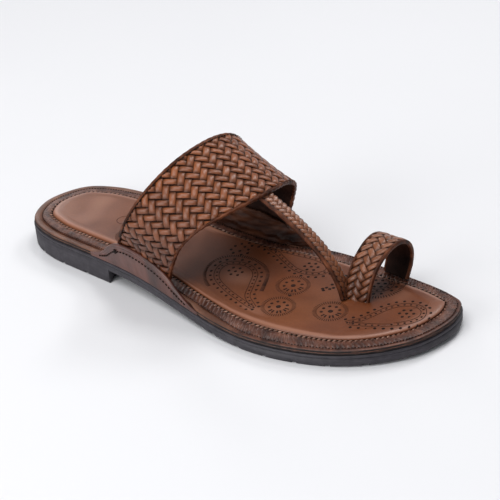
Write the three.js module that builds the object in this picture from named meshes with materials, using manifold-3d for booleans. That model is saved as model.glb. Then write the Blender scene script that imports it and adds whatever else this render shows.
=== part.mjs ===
// Kolhapuri sandal with a toe ring, right foot. Millimetres, +Z up, toe along +X, medial side +Y.
// The origin is moved at the end to the middle of the bounding box at floor level.
import * as THREE from "three";
import Module from "manifold-3d";

const wasm = await Module();
wasm.setup();
const { Manifold, Mesh: SolidMesh } = wasm;

// ---------------------------------------------------------------- driving sizes
const GAP = 0.32;
const HALF_STEPS = 44;

const sole = {
  length: 285,
  heelTipY: -0.9,
  toeTipY: 12.5,
  breastX: 79.5,
  breastZ: 8.4,
  archStartX: 84,
  archEndX: 200,
  thinHeel: 6.1,
  thinBall: 6.9,
  springX: 222,
  springRise: 2.2,
  edgeRound: 1.0,
};

const board = { heel: 2.0, ball: 2.3, inset: 0.45, panelInset: 2.65 };
const crimp = { rimHeel: 5.2, rimBall: 2.4, bedEdge: 11.7, proud: 1.2 };
const bed = { thickness: 2.6, shoulder: 5.2, toeNarrowing: 0.78 };
const panelWall = 1.8;
const bandWall = 2.4;
const strapWall = 2.5;
const ringWall = 2.2;

// Plan of the last: half widths measured from the heel-toe line at each station.
const outlineRows = [
  { x: 4, lateral: -16.6, medial: 14.6 },
  { x: 12, lateral: -25.5, medial: 25.9 },
  { x: 30, lateral: -32.4, medial: 33.8 },
  { x: 50, lateral: -35.0, medial: 36.3 },
  { x: 70, lateral: -36.8, medial: 36.3 },
  { x: 90, lateral: -39.1, medial: 35.0 },
  { x: 110, lateral: -42.0, medial: 33.3 },
  { x: 130, lateral: -45.9, medial: 32.8 },
  { x: 150, lateral: -50.0, medial: 35.1 },
  { x: 170, lateral: -53.9, medial: 40.0 },
  { x: 190, lateral: -55.8, medial: 43.7 },
  { x: 210, lateral: -54.7, medial: 43.3 },
  { x: 230, lateral: -50.1, medial: 40.9 },
  { x: 245, lateral: -44.1, medial: 39.0 },
  { x: 258, lateral: -36.0, medial: 36.9 },
  { x: 270, lateral: -25.1, medial: 33.6 },
  { x: 279.5, lateral: -11.5, medial: 28.6 },
];

// Instep band: the two edges of its outer face, from the little-toe side over the instep.
const bandRows = [
  { rearX: 104.0, rearY: -46.6, rearZ: 51.0, frontX: 141.5, frontY: -43.6, frontZ: 43.0 },
  { rearX: 112.6, rearY: -43.6, rearZ: 65.6, frontX: 151.4, frontY: -39.6, frontZ: 54.9 },
  { rearX: 119.4, rearY: -33.4, rearZ: 77.0, frontX: 160.8, frontY: -32.1, frontZ: 62.2 },
  { rearX: 124.4, rearY: -18.2, rearZ: 84.4, frontX: 168.2, frontY: -21.0, frontZ: 66.1 },
  { rearX: 127.8, rearY: -0.7, rearZ: 87.2, frontX: 172.8, frontY: -7.0, frontZ: 67.4 },
  { rearX: 129.2, rearY: 16.8, rearZ: 85.4, frontX: 173.8, frontY: 8.2, frontZ: 66.2 },
  { rearX: 128.4, rearY: 31.4, rearZ: 78.4, frontX: 171.2, frontY: 23.0, frontZ: 62.0 },
  { rearX: 124.0, rearY: 40.8, rearZ: 66.0, frontX: 167.2, frontY: 35.2, frontZ: 54.2 },
  { rearX: 114.6, rearY: 42.0, rearZ: 47.6, frontX: 161.2, frontY: 41.2, frontZ: 41.6 },
];

// Where the band goes down behind the side panels: its corners at the panel edge, the stations of
// its feet, and how far each leg leans out for a millimetre of height.
const bandLegs = {
  lateral: { rearX: 93.4, rearZ: 36.0, frontX: 134.0, frontZ: 28.0, footRearX: 85.0,
    footFrontX: 129.5, rearLean: 0.21, frontLean: 0.0 },
  medial: { rearX: 102.8, rearZ: 27.7, frontX: 158.0, frontZ: 27.5, footRearX: 97.0,
    footFrontX: 158.5, rearLean: 0.4, frontLean: 0.25 },
};
const footInset = 2.5;

// Side panels: height of the top edge at each station.
const panelRows = {
  lateral: [
    { x: 66, top: 17.4 }, { x: 72, top: 19.0 }, { x: 78, top: 22.6 }, { x: 84, top: 28.0 },
    { x: 90, top: 32.0 }, { x: 97, top: 33.4 }, { x: 106, top: 32.6 }, { x: 115, top: 30.6 },
    { x: 124, top: 27.8 }, { x: 133, top: 23.6 }, { x: 142, top: 17.0 }, { x: 149, top: 12.9 },
    { x: 156, top: 11.4 },
  ],
  medial: [
    { x: 70, top: 17.2 }, { x: 77, top: 20.0 }, { x: 86, top: 24.2 }, { x: 95, top: 26.8 },
    { x: 104, top: 27.6 }, { x: 113, top: 27.4 }, { x: 122, top: 27.2 }, { x: 131, top: 27.2 },
    { x: 140, top: 27.0 }, { x: 148, top: 25.6 }, { x: 156, top: 22.2 }, { x: 164, top: 17.8 },
    { x: 172, top: 13.2 }, { x: 180, top: 10.4 },
  ],
};

// Centre strap: outer face from under the band down to the toe post.
const strapRows = [
  { x: 158.0, y: 0.6, z: 73.2, width: 10.5 },
  { x: 166.0, y: 0.5, z: 68.6, width: 10.5 },
  { x: 174.0, y: 0.3, z: 63.9, width: 10.0 },
  { x: 184.5, y: 0.2, z: 58.2, width: 9.4 },
  { x: 196.5, y: 0.1, z: 50.2, width: 9.0 },
  { x: 207.4, y: 0.0, z: 41.2, width: 9.0 },
  { x: 215.8, y: -0.4, z: 32.0, width: 8.8 },
  { x: 221.0, y: -0.8, z: 22.8, width: 8.2 },
  { x: 223.4, y: -0.8, z: 13.4, width: 7.0 },
];

// Toe ring: the two edges of its outer face, from the toe post over the big toe.
const ringRows = [
  { rearX: 219.4, rearY: -1.5, rearZ: 10.4, frontX: 235.8, frontY: 0.8, frontZ: 10.5 },
  { rearX: 220.0, rearY: 0.4, rearZ: 17.0, frontX: 236.4, frontY: 2.2, frontZ: 18.0 },
  { rearX: 221.2, rearY: 4.4, rearZ: 26.0, frontX: 237.8, frontY: 4.8, frontZ: 27.5 },
  { rearX: 222.6, rearY: 10.0, rearZ: 34.6, frontX: 239.8, frontY: 9.0, frontZ: 35.4 },
  { rearX: 224.0, rearY: 18.5, rearZ: 40.8, frontX: 241.8, frontY: 16.5, frontZ: 41.0 },
  { rearX: 224.9, rearY: 27.0, rearZ: 41.6, frontX: 243.0, frontY: 25.6, frontZ: 41.8 },
  { rearX: 225.3, rearY: 35.0, rearZ: 37.2, frontX: 243.5, frontY: 33.6, frontZ: 37.6 },
  { rearX: 225.1, rearY: 39.6, rearZ: 29.0, frontX: 243.2, frontY: 38.0, frontZ: 30.0 },
  { rearX: 224.6, rearY: 40.0, rearZ: 20.0, frontX: 242.4, frontY: 38.2, frontZ: 21.0 },
  { rearX: 224.0, rearY: 37.8, rearZ: 10.8, frontX: 241.0, frontY: 35.0, frontZ: 11.1 },
];

// Transverse cuts in the tread, straight across the sole.
const treadCuts = { width: 2.6, depth: 1.5, heelX: [20, 40, 60], ballX: [168, 186, 204, 222, 240, 258] };

const finishes = {
  outsole: { color: 0x2b292c, roughness: 0.62, metalness: 0.0 },
  midsole: { color: 0x84583c, roughness: 0.5, metalness: 0.0 },
  crimped_band: { color: 0x5a3f33, roughness: 0.58, metalness: 0.0 },
  footbed: { color: 0x8c5736, roughness: 0.42, metalness: 0.0 },
  side_panel_lateral: { color: 0x6c4735, roughness: 0.46, metalness: 0.0 },
  side_panel_medial: { color: 0x6c4735, roughness: 0.46, metalness: 0.0 },
  upper: { color: 0x85563b, roughness: 0.48, metalness: 0.0 },
};

// ---------------------------------------------------------------- heights along the sole
const smooth = (x, a, b) => THREE.MathUtils.smoothstep(x, a, b);

function undersideZ(x) {
  const arch = sole.breastZ * (1 - smooth(x, sole.archStartX, sole.archEndX));
  const spring = Math.max(0, (x - sole.springX) / (sole.length - sole.springX));
  return arch + sole.springRise * spring * spring;
}

function soleTopZ(x) {
  return undersideZ(x) + THREE.MathUtils.lerp(sole.thinHeel, sole.thinBall, smooth(x, 150, 210));
}

function boardTopZ(x) {
  return soleTopZ(x) + GAP + THREE.MathUtils.lerp(board.heel, board.ball, smooth(x, 100, 180));
}

// ---------------------------------------------------------------- plan of the sole
function resample(points, steps) {
  const path = new THREE.CurvePath();
  for (let i = 1; i < points.length; i += 1) {
    path.add(new THREE.LineCurve3(points[i - 1], points[i]));
  }
  return path.getSpacedPoints(steps);
}

function makeOutline() {
  const lateral = outlineRows.map((row) => new THREE.Vector3(row.x, row.lateral, 0));
  const medial = outlineRows.map((row) => new THREE.Vector3(row.x, row.medial, 0)).reverse();
  const heelTip = new THREE.Vector3(0, sole.heelTipY, 0);
  const toeTip = new THREE.Vector3(sole.length, sole.toeTipY, 0);
  const corners = [heelTip, ...lateral, toeTip, ...medial];
  const curve = new THREE.CatmullRomCurve3(corners, true, "centripetal");
  const toeT = (lateral.length + 1) / corners.length;
  const half = (from, to) => {
    const dense = [];
    for (let i = 0; i <= 300; i += 1) {
      dense.push(curve.getPoint(THREE.MathUtils.lerp(from, to, i / 300) % 1));
    }
    return resample(dense, HALF_STEPS);
  };
  const first = half(0, toeT);
  const second = half(toeT, 1);
  return [...first.slice(0, -1), ...second.slice(0, -1)];
}

const outline = makeOutline();
const inward = outline.map((point, i) => {
  const before = outline.at(i - 1);
  const after = outline[(i + 1) % outline.length];
  const along = after.clone().sub(before).normalize();
  return new THREE.Vector3(-along.y, along.x, 0);
});

// One closed ring round the sole, inset from the outline, at a height given along the length.
function soleRing(insetAt, heightAt) {
  return outline.map((point, i) => {
    const moved = point.clone().addScaledVector(inward[i], insetAt(point));
    moved.z = heightAt(moved.x);
    return moved;
  });
}

// Y of the outline on one side (+1 medial, -1 lateral) at station x.
function outlineY(side, x) {
  const half = side < 0 ? outline.slice(0, HALF_STEPS + 1) : outline.slice(HALF_STEPS).reverse();
  const next = half.findIndex((point) => point.x >= x);
  const [a, b] = [half[next - 1], half[next]];
  return THREE.MathUtils.mapLinear(x, a.x, b.x, a.y, b.y);
}

// ---------------------------------------------------------------- mesh building
function meshFrom(vertices, faces) {
  const geometry = new THREE.BufferGeometry();
  const flat = vertices.flatMap((vertex) => [vertex.x, vertex.y, vertex.z]);
  geometry.setAttribute("position", new THREE.Float32BufferAttribute(flat, 3));
  geometry.setIndex(faces.flat());
  return geometry;
}

function quad(faces, a, b, c, d) {
  faces.push([a, b, c], [a, c, d]);
}

// Skins consecutive rings of equal length; the last joins the first when wrapped.
function skinRings(rings, wrapped) {
  const vertices = rings.flat();
  const faces = [];
  const count = rings[0].length;
  const last = wrapped ? rings.length : rings.length - 1;
  for (let r = 0; r < last; r += 1) {
    const low = r * count;
    const high = ((r + 1) % rings.length) * count;
    for (let i = 0; i < count; i += 1) {
      const next = (i + 1) % count;
      quad(faces, low + i, low + next, high + next, high + i);
    }
  }
  return { vertices, faces };
}

// Closes a sole ring with rungs from the lateral half to the medial half.
function capRing(shell, start, lanes, facingUp) {
  const { vertices, faces } = shell;
  const total = outline.length;
  const rungs = [];
  for (let i = 0; i <= HALF_STEPS; i += 1) {
    const a = start + i;
    const b = start + ((total - i) % total);
    if (i === 0 || i === HALF_STEPS) {
      rungs.push([a]);
      continue;
    }
    const rung = [a];
    for (let lane = 1; lane < lanes; lane += 1) {
      rung.push(vertices.length);
      vertices.push(vertices[a].clone().lerp(vertices[b], lane / lanes));
    }
    rung.push(b);
    rungs.push(rung);
  }
  const put = (a, b, c) => faces.push(facingUp ? [a, b, c] : [a, c, b]);
  for (let i = 1; i < rungs.length; i += 1) {
    const [near, far] = [rungs[i - 1], rungs[i]];
    const steps = Math.max(near.length, far.length) - 1;
    for (let s = 0; s < steps; s += 1) {
      const at = (rung, k) => rung[Math.min(k, rung.length - 1)];
      if (far.length > 1) put(at(near, s), at(far, s), at(far, s + 1));
      if (near.length > 1) put(at(near, s), at(far, s + 1), at(near, s + 1));
    }
  }
}

function soleSolid(rings, lanes) {
  const shell = skinRings(rings, false);
  capRing(shell, 0, lanes, false);
  capRing(shell, (rings.length - 1) * outline.length, lanes, true);
  return meshFrom(shell.vertices, shell.faces);
}

// A wall of real thickness over a grid of outer-face points: rows[i][j].
function wallSolid(rows, thickness, grow = 0) {
  const [countI, countJ] = [rows.length, rows[0].length];
  const normals = rows.map((row, i) => row.map((point, j) => {
    const alongI = rows[Math.min(i + 1, countI - 1)][j].clone().sub(rows[Math.max(i - 1, 0)][j]);
    const alongJ = row[Math.min(j + 1, countJ - 1)].clone().sub(row[Math.max(j - 1, 0)]);
    return alongI.cross(alongJ).normalize();
  }));
  const vertices = [];
  for (const shift of [grow, -thickness - grow]) {
    rows.forEach((row, i) => row.forEach((point, j) => {
      vertices.push(point.clone().addScaledVector(normals[i][j], -shift));
    }));
  }
  const faces = [];
  const id = (layer, i, j) => layer * countI * countJ + i * countJ + j;
  for (let i = 0; i + 1 < countI; i += 1) {
    for (let j = 0; j + 1 < countJ; j += 1) {
      quad(faces, id(0, i, j), id(0, i, j + 1), id(0, i + 1, j + 1), id(0, i + 1, j));
      quad(faces, id(1, i, j), id(1, i + 1, j), id(1, i + 1, j + 1), id(1, i, j + 1));
    }
    const lastJ = countJ - 1;
    quad(faces, id(0, i, 0), id(0, i + 1, 0), id(1, i + 1, 0), id(1, i, 0));
    quad(faces, id(0, i + 1, lastJ), id(0, i, lastJ), id(1, i, lastJ), id(1, i + 1, lastJ));
  }
  for (let j = 0; j + 1 < countJ; j += 1) {
    const lastI = countI - 1;
    quad(faces, id(0, 0, j + 1), id(0, 0, j), id(1, 0, j), id(1, 0, j + 1));
    quad(faces, id(0, lastI, j), id(0, lastI, j + 1), id(1, lastI, j + 1), id(1, lastI, j));
  }
  return meshFrom(vertices, faces);
}

// ---------------------------------------------------------------- joining and cutting
function toSolid(geometry) {
  return Manifold.ofMesh(new SolidMesh({
    numProp: 3,
    vertProperties: new Float32Array(geometry.getAttribute("position").array),
    triVerts: new Uint32Array(geometry.getIndex().array),
  }));
}

function fromSolid(solid) {
  const mesh = solid.getMesh();
  const geometry = new THREE.BufferGeometry();
  geometry.setAttribute("position", new THREE.Float32BufferAttribute(mesh.vertProperties, 3));
  geometry.setIndex(Array.from(mesh.triVerts));
  return geometry;
}

function plainBox(width, depth, height, at) {
  const box = new THREE.BoxGeometry(width, depth, height);
  const indexed = new THREE.BufferGeometry();
  const corners = [];
  for (const x of [-0.5, 0.5]) {
    for (const y of [-0.5, 0.5]) {
      for (const z of [-0.5, 0.5]) corners.push(new THREE.Vector3(x * width, y * depth, z * height));
    }
  }
  const position = box.getAttribute("position");
  const nearest = (k) => corners.findIndex((corner) => (
    corner.distanceTo(new THREE.Vector3().fromBufferAttribute(position, k)) < 1e-6));
  const flat = corners.flatMap((corner) => [corner.x, corner.y, corner.z]);
  indexed.setAttribute("position", new THREE.Float32BufferAttribute(flat, 3));
  indexed.setIndex(Array.from(box.getIndex().array).map(nearest));
  indexed.translate(at.x, at.y, at.z);
  return indexed;
}

// ---------------------------------------------------------------- sole pieces
function makeOutsole() {
  const edge = sole.edgeRound;
  const thin = soleSolid([
    soleRing(() => edge, undersideZ),
    soleRing(() => 0.1, (x) => undersideZ(x) + edge),
    soleRing(() => 0, (x) => soleTopZ(x) - 1.4),
    soleRing(() => 0.5, soleTopZ),
  ], 2);
  const block = soleSolid([
    soleRing(() => edge, () => 0),
    soleRing(() => 0.1, () => edge),
    soleRing(() => 0.05, () => sole.breastZ + 3),
  ], 2);
  const rear = plainBox(sole.breastX + 20, 160, 60, new THREE.Vector3((sole.breastX - 20) / 2, 0, 0));
  let solid = toSolid(thin).add(toSolid(block).intersect(toSolid(rear)));
  for (const x of [...treadCuts.heelX, ...treadCuts.ballX]) {
    const at = new THREE.Vector3(x, 0, x > sole.breastX ? undersideZ(x) : 0);
    solid = solid.subtract(toSolid(plainBox(treadCuts.width, 160, treadCuts.depth * 2, at)));
  }
  return fromSolid(solid);
}

// The board stands further in where a side panel wraps up past its edge.
function boardInset(point) {
  const side = Math.sign(point.y);
  const rows = side > 0 ? panelRows.medial : panelRows.lateral;
  const [start, end] = [rows[0].x, rows.at(-1).x];
  const inside = smooth(point.x, start - 7, start - 1) * (1 - smooth(point.x, end + 1, end + 7));
  return THREE.MathUtils.lerp(board.inset, board.panelInset, inside);
}

const boardBottomZ = (x) => soleTopZ(x) + GAP;

function makeMidsole() {
  return soleSolid([
    soleRing(boardInset, boardBottomZ),
    soleRing(boardInset, (x) => boardTopZ(x) - 0.5),
    soleRing((point) => boardInset(point) + 0.5, boardTopZ),
  ], 2);
}

// Width of the bare rim: wide behind the legs and panels, narrow round the forefoot.
function rimAt(point) {
  return THREE.MathUtils.lerp(crimp.rimHeel, crimp.rimBall, smooth(point.x, 160, 192));
}

// Inset of the line where crimped band and footbed meet; it moves out towards the toe.
function bedEdgeAt(point) {
  return crimp.bedEdge * THREE.MathUtils.lerp(1, bed.toeNarrowing, smooth(point.x, 205, 262));
}

const ringSlots = () => toSolid(wallSolid(spreadRows(runOn(ringRows), 48, 1, GAP + 0.1), ringWall,
  GAP + 0.1));

function makeCrimpedBand() {
  const outer = (extra) => (point) => rimAt(point) + extra;
  const inner = (extra) => (point) => bedEdgeAt(point) - extra;
  const low = (x) => boardTopZ(x) + GAP + 0.05;
  const high = (x) => low(x) + crimp.proud;
  const shell = skinRings([
    soleRing(outer(0), low),
    soleRing(outer(0), (x) => high(x) - 0.4),
    soleRing(outer(0.5), high),
    soleRing(inner(0.2), high),
    soleRing(inner(0), low),
  ], true);
  return fromSolid(toSolid(meshFrom(shell.vertices, shell.faces)).subtract(ringSlots()));
}

function makeFootbed() {
  const start = (extra) => (point) => bedEdgeAt(point) + GAP + extra;
  const at = (share) => (x) => boardTopZ(x) + GAP + 0.05 + bed.thickness * share;
  const body = soleSolid([
    soleRing(start(0.1), at(0)),
    soleRing(start(0), at(0.42)),
    soleRing(start(bed.shoulder * 0.14), at(0.74)),
    soleRing(start(bed.shoulder * 0.42), at(0.92)),
    soleRing(start(bed.shoulder), at(1)),
  ], 4);
  return fromSolid(toSolid(body).subtract(ringSlots()));
}

// A table of edges run on past both its ends, so that the toe ring's slots go right through.
function runOn(table) {
  const beyond = (end, before) => Object.fromEntries(Object.keys(end).map((key) => (
    [key, end[key] + (end[key] - before[key]) * 0.6])));
  return [beyond(table[0], table[1]), ...table, beyond(table.at(-1), table.at(-2))];
}

// ---------------------------------------------------------------- upper
// Turns a table of edge points into rows of points from the rear edge to the front edge.
function spreadRows(table, along, across, widen = 0) {
  const edge = (name) => new THREE.CatmullRomCurve3(table.map((row) => (
    new THREE.Vector3(row[`${name}X`], row[`${name}Y`], row[`${name}Z`]))), false, "centripetal");
  const rear = edge("rear").getSpacedPoints(along);
  const front = edge("front").getSpacedPoints(along);
  return rear.map((start, i) => {
    const end = front[i];
    const reach = end.clone().sub(start).normalize().multiplyScalar(widen);
    const [from, to] = [start.clone().sub(reach), end.clone().add(reach)];
    const row = [];
    for (let j = 0; j <= across; j += 1) row.push(from.clone().lerp(to, j / across));
    return row;
  });
}

const legOf = (side) => (side > 0 ? bandLegs.medial : bandLegs.lateral);

function leanAt(side, x) {
  const leg = legOf(side);
  const share = THREE.MathUtils.clamp((x - leg.footRearX) / (leg.footFrontX - leg.footRearX), 0, 1);
  return THREE.MathUtils.lerp(leg.rearLean, leg.frontLean, share);
}

// Outer face of the band's legs; the side panels follow the same face further out.
function legFace(side, x, z, out = 0) {
  const lean = leanAt(side, x);
  const rise = Math.max(0, z - boardTopZ(x));
  const reach = Math.abs(outlineY(side, x)) - footInset + lean * rise + out * Math.hypot(1, lean);
  return new THREE.Vector3(x, side * reach, z);
}

function legRows(side, across) {
  const leg = legOf(side);
  return [0, 0.5, 1].map((share) => {
    const row = [];
    for (let j = 0; j <= across; j += 1) {
      const t = j / across;
      const footX = THREE.MathUtils.lerp(leg.footRearX, leg.footFrontX, t);
      const cornerX = THREE.MathUtils.lerp(leg.rearX, leg.frontX, t);
      const cornerZ = THREE.MathUtils.lerp(leg.rearZ, leg.frontZ, t);
      const x = THREE.MathUtils.lerp(footX, cornerX, share);
      const footZ = boardTopZ(x) + GAP + 0.1;
      row.push(legFace(side, x, THREE.MathUtils.lerp(footZ, cornerZ, share)));
    }
    return row;
  });
}

function cornerRow(side) {
  const leg = legOf(side);
  const rear = legFace(side, leg.rearX, leg.rearZ);
  const front = legFace(side, leg.frontX, leg.frontZ);
  return { rearX: rear.x, rearY: rear.y, rearZ: rear.z, frontX: front.x, frontY: front.y,
    frontZ: front.z };
}

function bandGrid(across) {
  const over = spreadRows([cornerRow(-1), ...bandRows, cornerRow(1)], 38, across);
  return [...legRows(-1, across), ...over.slice(1, -1), ...legRows(1, across).reverse()];
}

function strapSections() {
  const column = (key) => strapRows.map((row) => row[key]);
  const centre = new THREE.CatmullRomCurve3(strapRows.map((row) => (
    new THREE.Vector3(row.x, row.y, row.z))), false, "centripetal");
  const widths = column("width");
  const steps = 26;
  const rows = [];
  for (let i = 0; i <= steps; i += 1) {
    const u = i / steps;
    const middle = centre.getPoint(u);
    const k = u * (widths.length - 1);
    const low = Math.min(Math.floor(k), widths.length - 2);
    const half = THREE.MathUtils.lerp(widths[low], widths[low + 1], k - low) / 2;
    rows.push([1, 0, -1].map((share) => new THREE.Vector3(middle.x, middle.y + half * share, middle.z)));
  }
  return rows;
}

function makeUpper() {
  const band = wallSolid(bandGrid(6), bandWall);
  const strapBody = wallSolid(strapSections(), strapWall);
  const ring = wallSolid(spreadRows(ringRows, 32, 3), ringWall);
  return fromSolid(toSolid(band).add(toSolid(strapBody)).add(toSolid(ring)));
}

// ---------------------------------------------------------------- side panels
function makePanel(side) {
  const rows = side > 0 ? panelRows.medial : panelRows.lateral;
  const topEdge = new THREE.CatmullRomCurve3(rows.map((row) => (
    new THREE.Vector3(row.x, 0, row.top))), false, "centripetal").getSpacedPoints(30);
  const out = GAP + 0.1 + panelWall;
  const grid = topEdge.map((point) => {
    const low = soleTopZ(point.x) + GAP + 0.08;
    const bend = boardTopZ(point.x);
    const heights = [bend, THREE.MathUtils.lerp(bend, point.z, 0.5), point.z];
    return [low, ...heights].map((z) => legFace(side, point.x, z, out));
  });
  if (side < 0) grid.reverse();
  return wallSolid(grid, panelWall);
}

// ---------------------------------------------------------------- assembly
const pieces = {
  outsole: makeOutsole(),
  midsole: makeMidsole(),
  crimped_band: makeCrimpedBand(),
  footbed: makeFootbed(),
  side_panel_lateral: makePanel(-1),
  side_panel_medial: makePanel(1),
  upper: makeUpper(),
};

const bounds = new THREE.Box3();
for (const geometry of Object.values(pieces)) {
  geometry.computeBoundingBox();
  bounds.union(geometry.boundingBox);
}
const middle = bounds.getCenter(new THREE.Vector3());

const sandal = new THREE.Group();
sandal.name = "kolhapuri_sandal";
for (const [name, geometry] of Object.entries(pieces)) {
  geometry.translate(-middle.x, -middle.y, -bounds.min.z);
  geometry.computeVertexNormals();
  const mesh = new THREE.Mesh(geometry, new THREE.MeshStandardMaterial(finishes[name]));
  mesh.name = name;
  sandal.add(mesh);
}

export default sandal;
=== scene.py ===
"""Looks of a kolhapuri toe-ring sandal for the right foot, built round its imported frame.

Sizes are written in millimetres along the sole: the heel tip is at 0 and the toe tip at 285,
the big-toe side is +Y and the floor is 0. Workshop.piece() turns them into the frame's metres.
"""

import logging
import math
import random
from bisect import bisect_left, bisect_right
from collections.abc import Callable, Iterator, Sequence
from dataclasses import dataclass, field
from enum import Enum

import bmesh
import bpy
from mathutils import Matrix, Vector, noise
from mathutils.bvhtree import BVHTree


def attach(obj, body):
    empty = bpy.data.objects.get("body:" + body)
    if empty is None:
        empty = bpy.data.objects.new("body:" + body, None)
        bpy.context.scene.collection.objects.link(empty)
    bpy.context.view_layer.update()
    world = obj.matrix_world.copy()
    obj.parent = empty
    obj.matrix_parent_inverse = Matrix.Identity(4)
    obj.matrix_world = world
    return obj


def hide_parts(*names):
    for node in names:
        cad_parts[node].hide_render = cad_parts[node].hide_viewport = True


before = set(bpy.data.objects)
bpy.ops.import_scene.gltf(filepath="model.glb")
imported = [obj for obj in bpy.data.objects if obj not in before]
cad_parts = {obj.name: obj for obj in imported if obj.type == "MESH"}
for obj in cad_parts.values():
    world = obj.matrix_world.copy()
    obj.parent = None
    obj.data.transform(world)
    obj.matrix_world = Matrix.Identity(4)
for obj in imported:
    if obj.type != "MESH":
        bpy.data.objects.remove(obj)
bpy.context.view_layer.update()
log = logging.getLogger("sandal")

MM = 0.001
GAP = 0.32
UP = Vector((0.0, 0.0, 1.0))
Triple = tuple[float, float, float]
Colour = Triple
Place = Callable[[float, float], Vector]


class Node(Enum):
    """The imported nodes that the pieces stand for."""

    OUTSOLE = "outsole"
    MIDSOLE = "midsole"
    CRIMPED_BAND = "crimped_band"
    FOOTBED = "footbed"
    PANEL_LATERAL = "side_panel_lateral"
    PANEL_MEDIAL = "side_panel_medial"
    UPPER = "upper"

    @property
    def slot(self) -> str:
        """Name of the material slot in the record."""
        return "side_panel" if self.value.startswith("side_panel") else self.value


class Side(Enum):
    """The two sides of the foot, as the sign of Y."""

    LATERAL = -1
    MEDIAL = 1


class Wales(Enum):
    """Which way the rows of chevrons run on a woven strip."""

    ACROSS = "from the rear edge to the front edge"
    ALONG = "along its length"


# ------------------------------------------------------------------ small sums
def mix(start: float, end: float, share: float) -> float:
    """Value at a share of the way from start to end."""
    return start + (end - start) * share


def clamp(value: float, low: float = 0.0, high: float = 1.0) -> float:
    """Value held between low and high."""
    return max(low, min(high, value))


def smooth(value: float, start: float, end: float) -> float:
    """Soft step from 0 at start to 1 at end."""
    share = clamp((value - start) / (end - start))
    return share * share * (3.0 - 2.0 * share)


def uneven(x: float, y: float, z: float, size: float) -> float:
    """Smooth unevenness between about -1 and 1, with lumps of the given size in millimetres."""
    return noise.noise(Vector((x, y, z)) / size)


def grey(value: float) -> Colour:
    """A neutral colour."""
    return (value, value, value)


class Curve:
    """A line through points, measured along its own length."""

    def __init__(self, points: Sequence[Vector]) -> None:
        """Keeps the points and adds up the length.

        Args:
            points: Points close enough together to be joined by straight lines.
        """
        self.points = list(points)
        self.marks = [0.0]
        for before, after in zip(self.points, self.points[1:]):
            self.marks.append(self.marks[-1] + (after - before).length)

    @classmethod
    def through(cls, corners: Sequence[Vector], closed: bool = False, steps: int = 400) -> "Curve":
        """Rounds given corners off into a centripetal curve.

        Args:
            corners: The points that the curve passes through.
            closed: Whether the last corner leads back to the first.
            steps: Number of short straight pieces.

        Returns:
            The curve.
        """
        return cls([cls._round(corners, k / steps, closed) for k in range(steps + 1)])

    @staticmethod
    def _round(corners: Sequence[Vector], share: float, closed: bool) -> Vector:
        """Point of a centripetal curve.

        Args:
            corners: The points that the curve passes through.
            share: Share of the corners passed, 0 to 1.
            closed: Whether the curve is closed.

        Returns:
            The point.
        """
        count = len(corners)
        spans = count if closed else count - 1
        low = min(int(share * spans), spans - 1)
        weight = share * spans - low

        def corner(k: int) -> Vector:
            """Corner k, wrapped round or run on past the ends."""
            if closed:
                return corners[k % count]
            if k < 0:
                return corners[0] * 2.0 - corners[1]
            return corners[k] if k < count else corners[-1] * 2.0 - corners[-2]

        a, b, c, d = (corner(low + k) for k in (-1, 0, 1, 2))
        before, middle, after = (max(math.sqrt((q - p).length), 1e-4) for p, q in ((a, b), (b, c), (c, d)))
        leave = ((b - a) / before - (c - a) / (before + middle) + (c - b) / middle) * middle
        reach = ((c - b) / middle - (d - b) / (middle + after) + (d - c) / after) * middle
        square, cube = weight * weight, weight ** 3
        return (b * (2 * cube - 3 * square + 1) + leave * (cube - 2 * square + weight)
                + c * (3 * square - 2 * cube) + reach * (cube - square))

    @property
    def length(self) -> float:
        """Length of the whole line."""
        return self.marks[-1]

    def at(self, distance: float) -> Vector:
        """Point at a distance from the start."""
        k = min(max(bisect_right(self.marks, distance), 1), len(self.points) - 1)
        step = self.marks[k] - self.marks[k - 1]
        return self.points[k - 1].lerp(self.points[k], (distance - self.marks[k - 1]) / max(step, 1e-9))

    def along(self, distance: float) -> Vector:
        """Direction of travel at a distance from the start."""
        reach = 0.4
        ahead, behind = min(distance + reach, self.length), max(distance - reach, 0.0)
        return (self.at(ahead) - self.at(behind)).normalized()

    def spaced(self, steps: int) -> list[Vector]:
        """Points at even distances, ends included."""
        return [self.at(self.length * k / steps) for k in range(steps + 1)]

    def walk(self, pitch: float) -> Iterator[tuple[Vector, Vector, float]]:
        """Even steps along the line.

        Args:
            pitch: Wanted step, rounded so that a whole number fits.

        Yields:
            Point, direction and distance of each step.
        """
        count = max(1, round(self.length / pitch))
        for k in range(count):
            distance = self.length * (k + 0.5) / count
            yield self.at(distance), self.along(distance), distance


# ------------------------------------------------------------------ the last
@dataclass(frozen=True)
class Station:
    """Half widths of the sole at one place along it."""

    x: float
    lateral: float
    medial: float


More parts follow.
